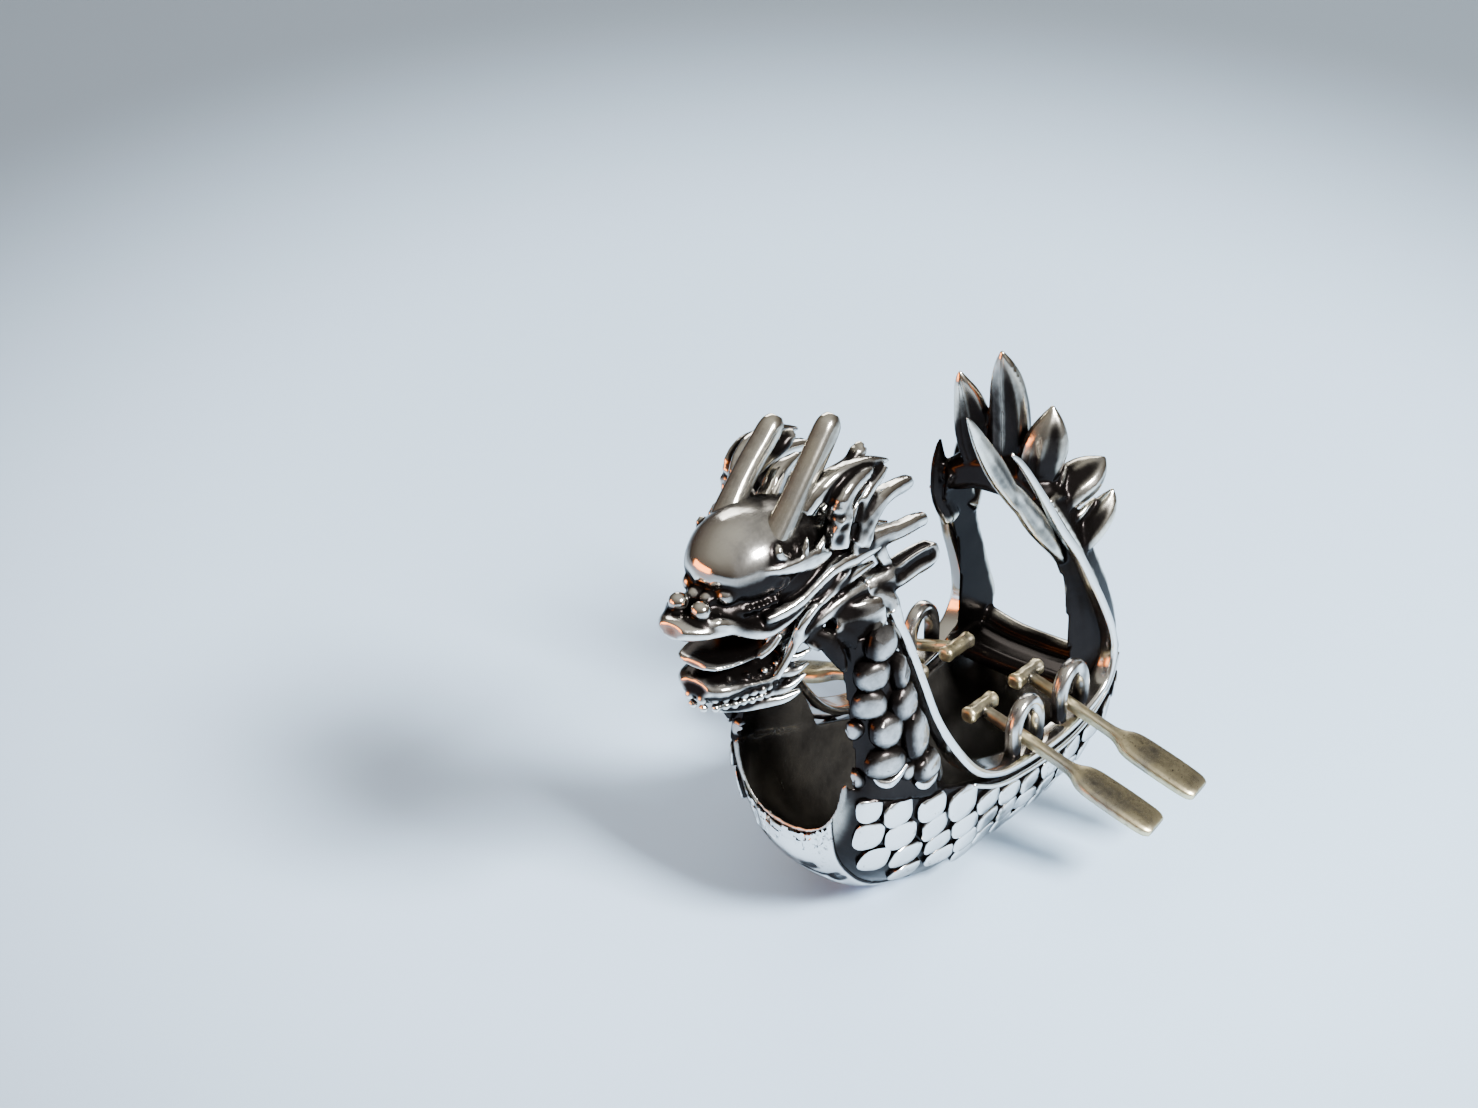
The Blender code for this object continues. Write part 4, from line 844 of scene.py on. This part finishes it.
tailShape = {
    "grain": 0.07,
    # rings of four corners: x, distance from the middle, z of the inner front, under the strip, aft outside, aft inside
    "post": (
        ((6.8, 2.45, 4.2), (8.0, 3.3, 4.3), (9.0, 2.8, 5.2), (9.05, 2.4, 5.2)),
        ((6.8, 2.47, 4.75), (8.0, 3.3, 4.85), (9.15, 2.85, 5.8), (9.1, 2.4, 5.75)),
        ((6.75, 2.45, 5.6), (8.3, 3.3, 5.9), (9.15, 2.95, 6.5), (9.05, 2.35, 6.5)),
        ((6.6, 2.35, 7.0), (8.1, 3.28, 7.1), (8.9, 2.95, 7.4), (8.6, 2.3, 7.4)),
        ((6.5, 2.3, 8.3), (7.6, 3.22, 8.3), (8.5, 2.9, 8.5), (8.1, 2.25, 8.5)),
        ((6.15, 2.25, 9.7), (6.95, 3.08, 9.8), (7.75, 2.8, 10.0), (7.4, 2.15, 10.0)),
        ((5.4, 2.15, 10.9), (6.2, 2.85, 11.2), (7.1, 2.55, 11.4), (6.8, 1.95, 11.4)),
        ((4.9, 2.0, 12.0), (5.5, 2.65, 12.3), (6.6, 2.35, 12.6), (6.4, 1.85, 12.6)),
        ((4.7, 1.7, 12.9), (5.0, 2.35, 13.2), (6.2, 2.1, 13.4), (6.1, 1.6, 13.4)),
    ),
    "hollow": 0.3,  # how deep the front face of a post is
    "root": ((5.7, -2.1, 12.6, 0.8, 0.6), (5.8, -1.2, 13.1, 0.85, 0.8), (5.85, 0, 13.3, 0.85, 0.95), (5.8, 1.2, 13.1, 0.85, 0.8), (5.7, 2.1, 12.6, 0.8, 0.6)),
    "sill": (
        ((6.65, -2.7, 5.1, 0.35, 0.35), (6.7, -1.3, 4.95, 0.35, 0.4), (6.7, 0, 4.9, 0.35, 0.4), (6.7, 1.3, 4.95, 0.35, 0.4), (6.65, 2.7, 5.1, 0.35, 0.35)),
        ((7.6, -2.7, 5.0, 0.9, 0.4), (7.6, -1.3, 4.75, 0.9, 0.4), (7.6, 0, 4.7, 0.9, 0.4), (7.6, 1.3, 4.75, 0.9, 0.4), (7.6, 2.7, 5.0, 0.9, 0.4)),
        ((8.75, -2.6, 5.3, 0.4, 0.45), (8.8, -1.3, 4.95, 0.4, 0.5), (8.8, 0, 4.9, 0.4, 0.5), (8.8, 1.3, 4.95, 0.4, 0.5), (8.75, 2.6, 5.3, 0.4, 0.45)),
    ),
    # half width is across the fin's face, and the last number how thick it bulges
    "fins": (
        ((5.65, -1.2, 13.2, 0.7, 0.5), (5.75, -1.4, 14.1, 0.84, 0.58), (5.85, -1.55, 14.9, 0.84, 0.56), (5.95, -1.6, 15.6, 0.56, 0.42), (6.0, -1.62, 16.3, 0.05, 0.05)),
        ((5.9, -1.7, 12.4, 0.7, 0.5), (6.6, -2.0, 12.9, 0.8, 0.56), (7.3, -2.25, 13.25, 0.8, 0.54), (7.85, -2.42, 13.5, 0.5, 0.4), (8.25, -2.5, 13.72, 0.05, 0.05)),
        ((6.7, -2.3, 10.7, 0.6, 0.42), (7.3, -2.6, 11.3, 0.64, 0.48), (7.75, -2.8, 11.85, 0.56, 0.44), (8.0, -2.92, 12.3, 0.34, 0.28), (8.08, -3.0, 12.68, 0.05, 0.05)),
    ),
    "fillers": (
        ((5.9, -1.9, 12.6, 0.2, 0.5), (6.3, -1.95, 13.4, 0.16, 0.35), (6.6, -1.95, 14.0, 0.05, 0.05)),
        ((6.6, -2.3, 11.6, 0.2, 0.5), (7.2, -2.5, 12.1, 0.16, 0.35), (7.6, -2.6, 12.4, 0.05, 0.05)),
    ),
    "centre": ((5.85, 0, 13.0, 0.75, 0.6), (5.9, 0, 14.4, 0.82, 0.62), (5.8, 0, 15.6, 0.8, 0.6), (5.55, 0, 16.8, 0.66, 0.48), (5.3, 0, 17.6, 0.4, 0.3), (5.1, 0, 18.2, 0.05, 0.05)),
    "starboardUpper": ((5.6, 0.9, 13.4, 0.7, 0.4), (5.5, 1.2, 14.6, 0.8, 0.4), (5.3, 1.4, 15.8, 0.6, 0.34), (5.05, 1.55, 16.6, 0.3, 0.22), (4.95, 1.6, 17.05, 0.05, 0.05)),
    "portLeaf": (
        ((3.5, -2.2, 13.4, 0.3, 0.2), (2.7, -2.2, 14.4, 0.42, 0.26), (1.7, -2.2, 15.7, 0.5, 0.28), (0.8, -2.2, 16.9, 0.38, 0.22), (0.2, -2.2, 17.8, 0.2, 0.14), (-0.15, -2.2, 18.3, 0.04, 0.04)),
        ((6.1, -2.3, 10.4, 0.16, 0.2), (5.45, -2.3, 11.25, 0.36, 0.3), (4.75, -2.28, 12.15, 0.52, 0.34), (3.85, -2.26, 13.15, 0.5, 0.32), (2.85, -2.24, 14.35, 0.36, 0.26), (2.1, -2.22, 15.2, 0.06, 0.08)),
    ),
    "starboardLeaf": ((5.7, 2.2, 10.8, 0.5, 0.3), (5.3, 2.38, 11.9, 0.6, 0.3), (5.15, 2.45, 13.0, 0.45, 0.25), (5.2, 2.5, 13.7, 0.2, 0.14), (5.25, 2.5, 14.05, 0.05, 0.05)),
    "shade": (
        (7.2, 2.7, 6.5, 1.4, 0.2), (7.0, 2.6, 8.2, 1.2, 0.2), (6.4, 2.4, 10.0, 1.0, 0.25), (5.2, 1.2, 13.4, 1.3, 0.1),
        (7.3, 0.0, 5.2, 1.6, 0.35), (7.3, 1.8, 5.2, 1.4, 0.35),
    ),
    # painted shade on the starboard side of the tail, the side turned away from the window
    "starboardShade": [
        (5.2, 2.4, 12.5, 1.8, 0.1), (4.9, 2.0, 13.8, 1.4, 0.2), (5.2, 1.2, 14.6, 0.8, 0.4), (6.8, 2.6, 6.5, 1.6, 0.3),
        (6.8, 2.4, 8.5, 1.4, 0.4),
    ],
}


def drawPost():
    corners = np.array(tailShape["post"])
    lines = [smoothRows(corners[:, k], 30) for k in range(4)]
    rings = []
    for i in range(30):
        ring = []
        for k in range(4):
            a, b = lines[k][i], lines[(k + 1) % 4][i]
            for t in (0, 0.25, 0.5, 0.75):
                point = a + (b - a) * t
                if k == 0:
                    point = point + (lines[2][i] - lines[0][i]) * tailShape["hollow"] * 4 * t * (1 - t) * 0.4
                ring.append((point[0], -point[1], point[2]))
        rings.append(ring)
    return pullRings(rings)


print("tail")
tailSide = [drawPost()]
tailSide += [drawForm(rows, sides=14, rings=16, across=(0.55, -0.8, 0.1)) for rows in tailShape["fins"][1:]]
tailSide += [drawForm(rows, sides=10, rings=10, across=(0.55, -0.8, 0)) for rows in tailShape["fillers"]]
tailForms = tailSide + mirrorOver(tailSide)
tailForms.append(drawForm(tailShape["fins"][0], sides=14, rings=16, across=(0.6, -0.7, 0)))
tailForms.append(drawForm(tailShape["starboardUpper"], sides=14, rings=16, across=(0.6, -0.7, 0), flat=1.15))
tailForms.append(drawForm(tailShape["root"], sides=14, rings=16, across=(1, 0, 0)))
tailForms += [drawForm(rows, sides=12, rings=14, across=(1, 0, 0)) for rows in tailShape["sill"]]
tailForms.append(drawForm(tailShape["centre"], sides=14, rings=18, across=(0.35, -0.9, 0), flat=1.2))
tailForms += [drawForm(rows, sides=14, rings=20, across=(0.75, 0, 0.65), flat=1.35) for rows in tailShape["portLeaf"]]
tailForms.append(drawForm(tailShape["starboardLeaf"], sides=12, rings=14, across=(1, 0, 0), flat=1.3))
tail = castTogether("tail", tailForms, tailShape["grain"], 2)
markWear(tail, gain=6.2, offset=0.3)
shade(tail, bothShades(tailShape["shade"]) + tailShape["starboardShade"])
finishPiece(
    tail, "stern_and_tail", tailSilver,
    replaces=["stern_sill", "tail_root", "tail_fin_centre"]
    + bothSides("stern_post", "tail_fin_upper", "tail_fin_middle", "tail_fin_lower", "tail_fin_inner"),
)


oarShape = {
    "stations": {"fore": (2.7, 5.08), "aft": (5.6, 5.1)},
    "side": 3.3,
    "droop": math.radians(20),
    "trail": math.radians(6),
    # distance from the axle, half width along the boat, half thickness
    "shaft": (
        (-1.9, 0.2, 0.2), (-1.0, 0.22, 0.22), (0.3, 0.23, 0.22), (1.6, 0.23, 0.21), (2.1, 0.3, 0.24), (2.5, 0.58, 0.28),
        (2.9, 0.7, 0.28), (3.6, 0.74, 0.27), (4.6, 0.74, 0.27), (5.3, 0.7, 0.25), (5.58, 0.56, 0.18),
    ),
    "grip": ((-0.85, 0.2), (-0.72, 0.33), (-0.4, 0.28), (0, 0.3), (0.4, 0.28), (0.72, 0.33), (0.85, 0.2)),
}

print("oars")
for name, (x, z) in oarShape["stations"].items():
    trail, droop = oarShape["trail"], oarShape["droop"]
    out = np.array([math.sin(trail), -math.cos(trail) * math.cos(droop), -math.sin(droop)])
    axle = np.array([x, -oarShape["side"], z])
    for side in ("port", "starboard"):
        rows = [(*(axle + out * along), wide, thick) for along, wide, thick in oarShape["shaft"]]
        shaft = drawForm(rows, sides=16, rings=44, across=(1, 0, 0), flat=0.7)
        end = axle + out * -1.9
        grip = drawForm([(end[0] + along, end[1], end[2], r, r) for along, r in oarShape["grip"]], sides=14, rings=14)
        oar = castTogether("oar", [shaft, grip], 0.045, 2)
        if side == "starboard":
            points = readPoints(oar)
            points[:, 1] *= -1
            writePoints(oar, points)
            useOnly(oar)
            bpy.ops.object.mode_set(mode="EDIT")
            bpy.ops.mesh.select_all(action="SELECT")
            bpy.ops.mesh.flip_normals()
            bpy.ops.object.mode_set(mode="OBJECT")
        markWear(oar, gain=4.0, offset=0.5)
        piece = f"oar_{name}_{side}"
        finishPiece(oar, f"silver_{piece}", oarSilver, body=piece, replaces=(piece,))

lockShape = {"wire": 0.3, "half": 0.72, "height": 1.75, "foot": {"fore": 4.78, "aft": 4.88}}
print("oarlocks")
for name, (x, z) in oarShape["stations"].items():
    foot = lockShape["foot"][name]
    rows = [(x - lockShape["half"], -3.3, foot - 0.15, 0.3, 0.3)]
    for k in range(9):
        turn = math.pi * k / 8
        up = foot + math.sin(turn) * (lockShape["height"] - 0.75) + 0.75
        rows.append((x - math.cos(turn) * lockShape["half"], -3.3, up, lockShape["wire"], lockShape["wire"]))
    rows.append((x + lockShape["half"], -3.3, foot - 0.15, 0.3, 0.3))
    lock = drawForm(rows, sides=14, rings=40)
    twin = mirrorOver([lock])[0]
    useOnly(lock, twin)
    bpy.ops.object.join()
    makeOutward(lock)
    points = readPoints(lock)
    low = np.clip((points[:, 2] - foot) / 0.9, 0, 1)
    setAttribute(lock, "wear", 0.2 + 0.45 * low + 0.15 * np.sin(points[:, 0] * 9))
    finishPiece(lock, f"staples_{name}", rimSilver, replaces=bothSides(f"oarlock_{name}"))


stageSetup = {
    "paper": (0.42, 0.58, 0.77, 1),
    "fibre": (0.39, 0.54, 0.73, 1),
    # painted shade: the dim colour the paper fades to outside the painted pool of light
    "corner": (0.11, 0.145, 0.185, 1),
    # turn, stretch and middle of the painted pool of light on the paper
    "turn": math.radians(51),
    "paintedPoolStretch": (0.75, 0.62, 1),
    "middle": (0.0, -0.0155, 0.0),
    # height of the view over the horizon, from 0 straight down to 1 straight up, and the room's colour there
    "room": (
        (0.0, (0.05, 0.045, 0.04, 1)), (0.5, (0.06, 0.045, 0.035, 1)), (0.6, (0.1, 0.085, 0.07, 1)),
        (0.8, (0.22, 0.2, 0.17, 1)), (1.0, (0.5, 0.48, 0.42, 1)),
    ),
    "roomStrength": 1.0,
}

cameraSetup = {
    "place": (-68.6, -48.1, 57.8),
    "forward": (0.683, 0.553, -0.477),
    "lens": 68.2,
    "sensor": 36.0,
}


def addLight(name, place, aim, size, energy, colour=(1, 1, 1)):
    bpy.ops.object.light_add(type="AREA", location=Vector(place) * mm)
    light = bpy.context.object
    light.name = name
    light.rotation_euler = (Vector(aim) - Vector(place)).to_track_quat("-Z", "Y").to_euler()
    light.data.shape = "RECTANGLE"
    light.data.size, light.data.size_y = size[0] * mm, size[1] * mm
    light.data.energy = energy
    light.data.color = colour
    return light


print("stage")
bpy.ops.mesh.primitive_plane_add(size=3, location=(0, 0, 0))
paper = bpy.context.object
paper.name = "paper"
paperFinish = Finish("white paper")
paperPlace = paperFinish.add("ShaderNodeTexCoord", output=3)
fibre = paperFinish.add("ShaderNodeTexNoise", Vector=paperPlace, Scale=600.0, Detail=3.0)
sheet = paperFinish.mix((fibre * 0.3).clamped(), stageSetup["paper"], stageSetup["fibre"])
# painted light on the paper: an oval pool of light round the middle, fading to the dim colour towards the edges
paintedLightPool = paperFinish.add(
    "ShaderNodeMapping", Vector=paperPlace, Rotation=(0, 0, stageSetup["turn"]), Scale=(1.0, 1.0, 1.0)
)
paintedLightPool = paperFinish.add("ShaderNodeMapping", Vector=paintedLightPool, Location=stageSetup["middle"], Scale=stageSetup["paintedPoolStretch"])
away = paperFinish.add("ShaderNodeVectorMath", {"operation": "LENGTH"}, output=1, i0=paintedLightPool)
paintedFalloff = paperFinish.add(
    "ShaderNodeMapRange", {"interpolation_type": "SMOOTHSTEP"}, Value=away, From_Min=0.019, From_Max=0.05
)
paperFinish.feed("Base Color", paperFinish.mix(paintedFalloff, sheet, stageSetup["corner"]))
paperFinish.feed("Roughness", 0.85)
paper.data.materials.append(paperFinish.material)

world = bpy.data.worlds.new("room")
bpy.context.scene.world = world
world.use_nodes = True
roomTree = world.node_tree
direction = roomTree.nodes.new("ShaderNodeTexCoord")
split = roomTree.nodes.new("ShaderNodeSeparateXYZ")
raised = roomTree.nodes.new("ShaderNodeMapRange")
raised.inputs["From Min"].default_value, raised.inputs["From Max"].default_value = -1.0, 1.0
ramp = roomTree.nodes.new("ShaderNodeValToRGB")
while len(ramp.color_ramp.elements) < len(stageSetup["room"]):
    ramp.color_ramp.elements.new(0.5)
for element, (place, colour) in zip(ramp.color_ramp.elements, stageSetup["room"]):
    element.position, element.color = place, colour
roomTree.links.new(direction.outputs["Generated"], split.inputs[0])
roomTree.links.new(split.outputs["Z"], raised.inputs["Value"])
roomTree.links.new(raised.outputs[0], ramp.inputs[0])
roomTree.links.new(ramp.outputs[0], roomTree.nodes["Background"].inputs["Color"])
roomTree.nodes["Background"].inputs["Strength"].default_value = stageSetup["roomStrength"]
addLight("window", (-5, -165, 145), (0, 0, 6), (66, 48), 2.3, (1, 0.99, 0.97))
addLight("far wall", (170, 130, 120), (0, 0, 8), (180, 100), 0.42, (1, 0.97, 0.9))
addLight("warm wall", (-130, 95, 22), (0, 0, 12), (150, 70), 0.26, (1, 0.27, 0.05))
fill = addLight("ceiling", (-20, 20, 260), (0, 0, 0), (300, 300), 0.4, (0.94, 0.97, 1))
fill.visible_glossy = False

bpy.ops.object.camera_add(location=Vector(cameraSetup["place"]) * mm)
camera = bpy.context.object
camera.rotation_euler = Vector(cameraSetup["forward"]).to_track_quat("-Z", "Y").to_euler()
camera.data.lens = cameraSetup["lens"]
camera.data.sensor_width = cameraSetup["sensor"]
camera.data.clip_start = 0.001
bpy.context.scene.camera = camera
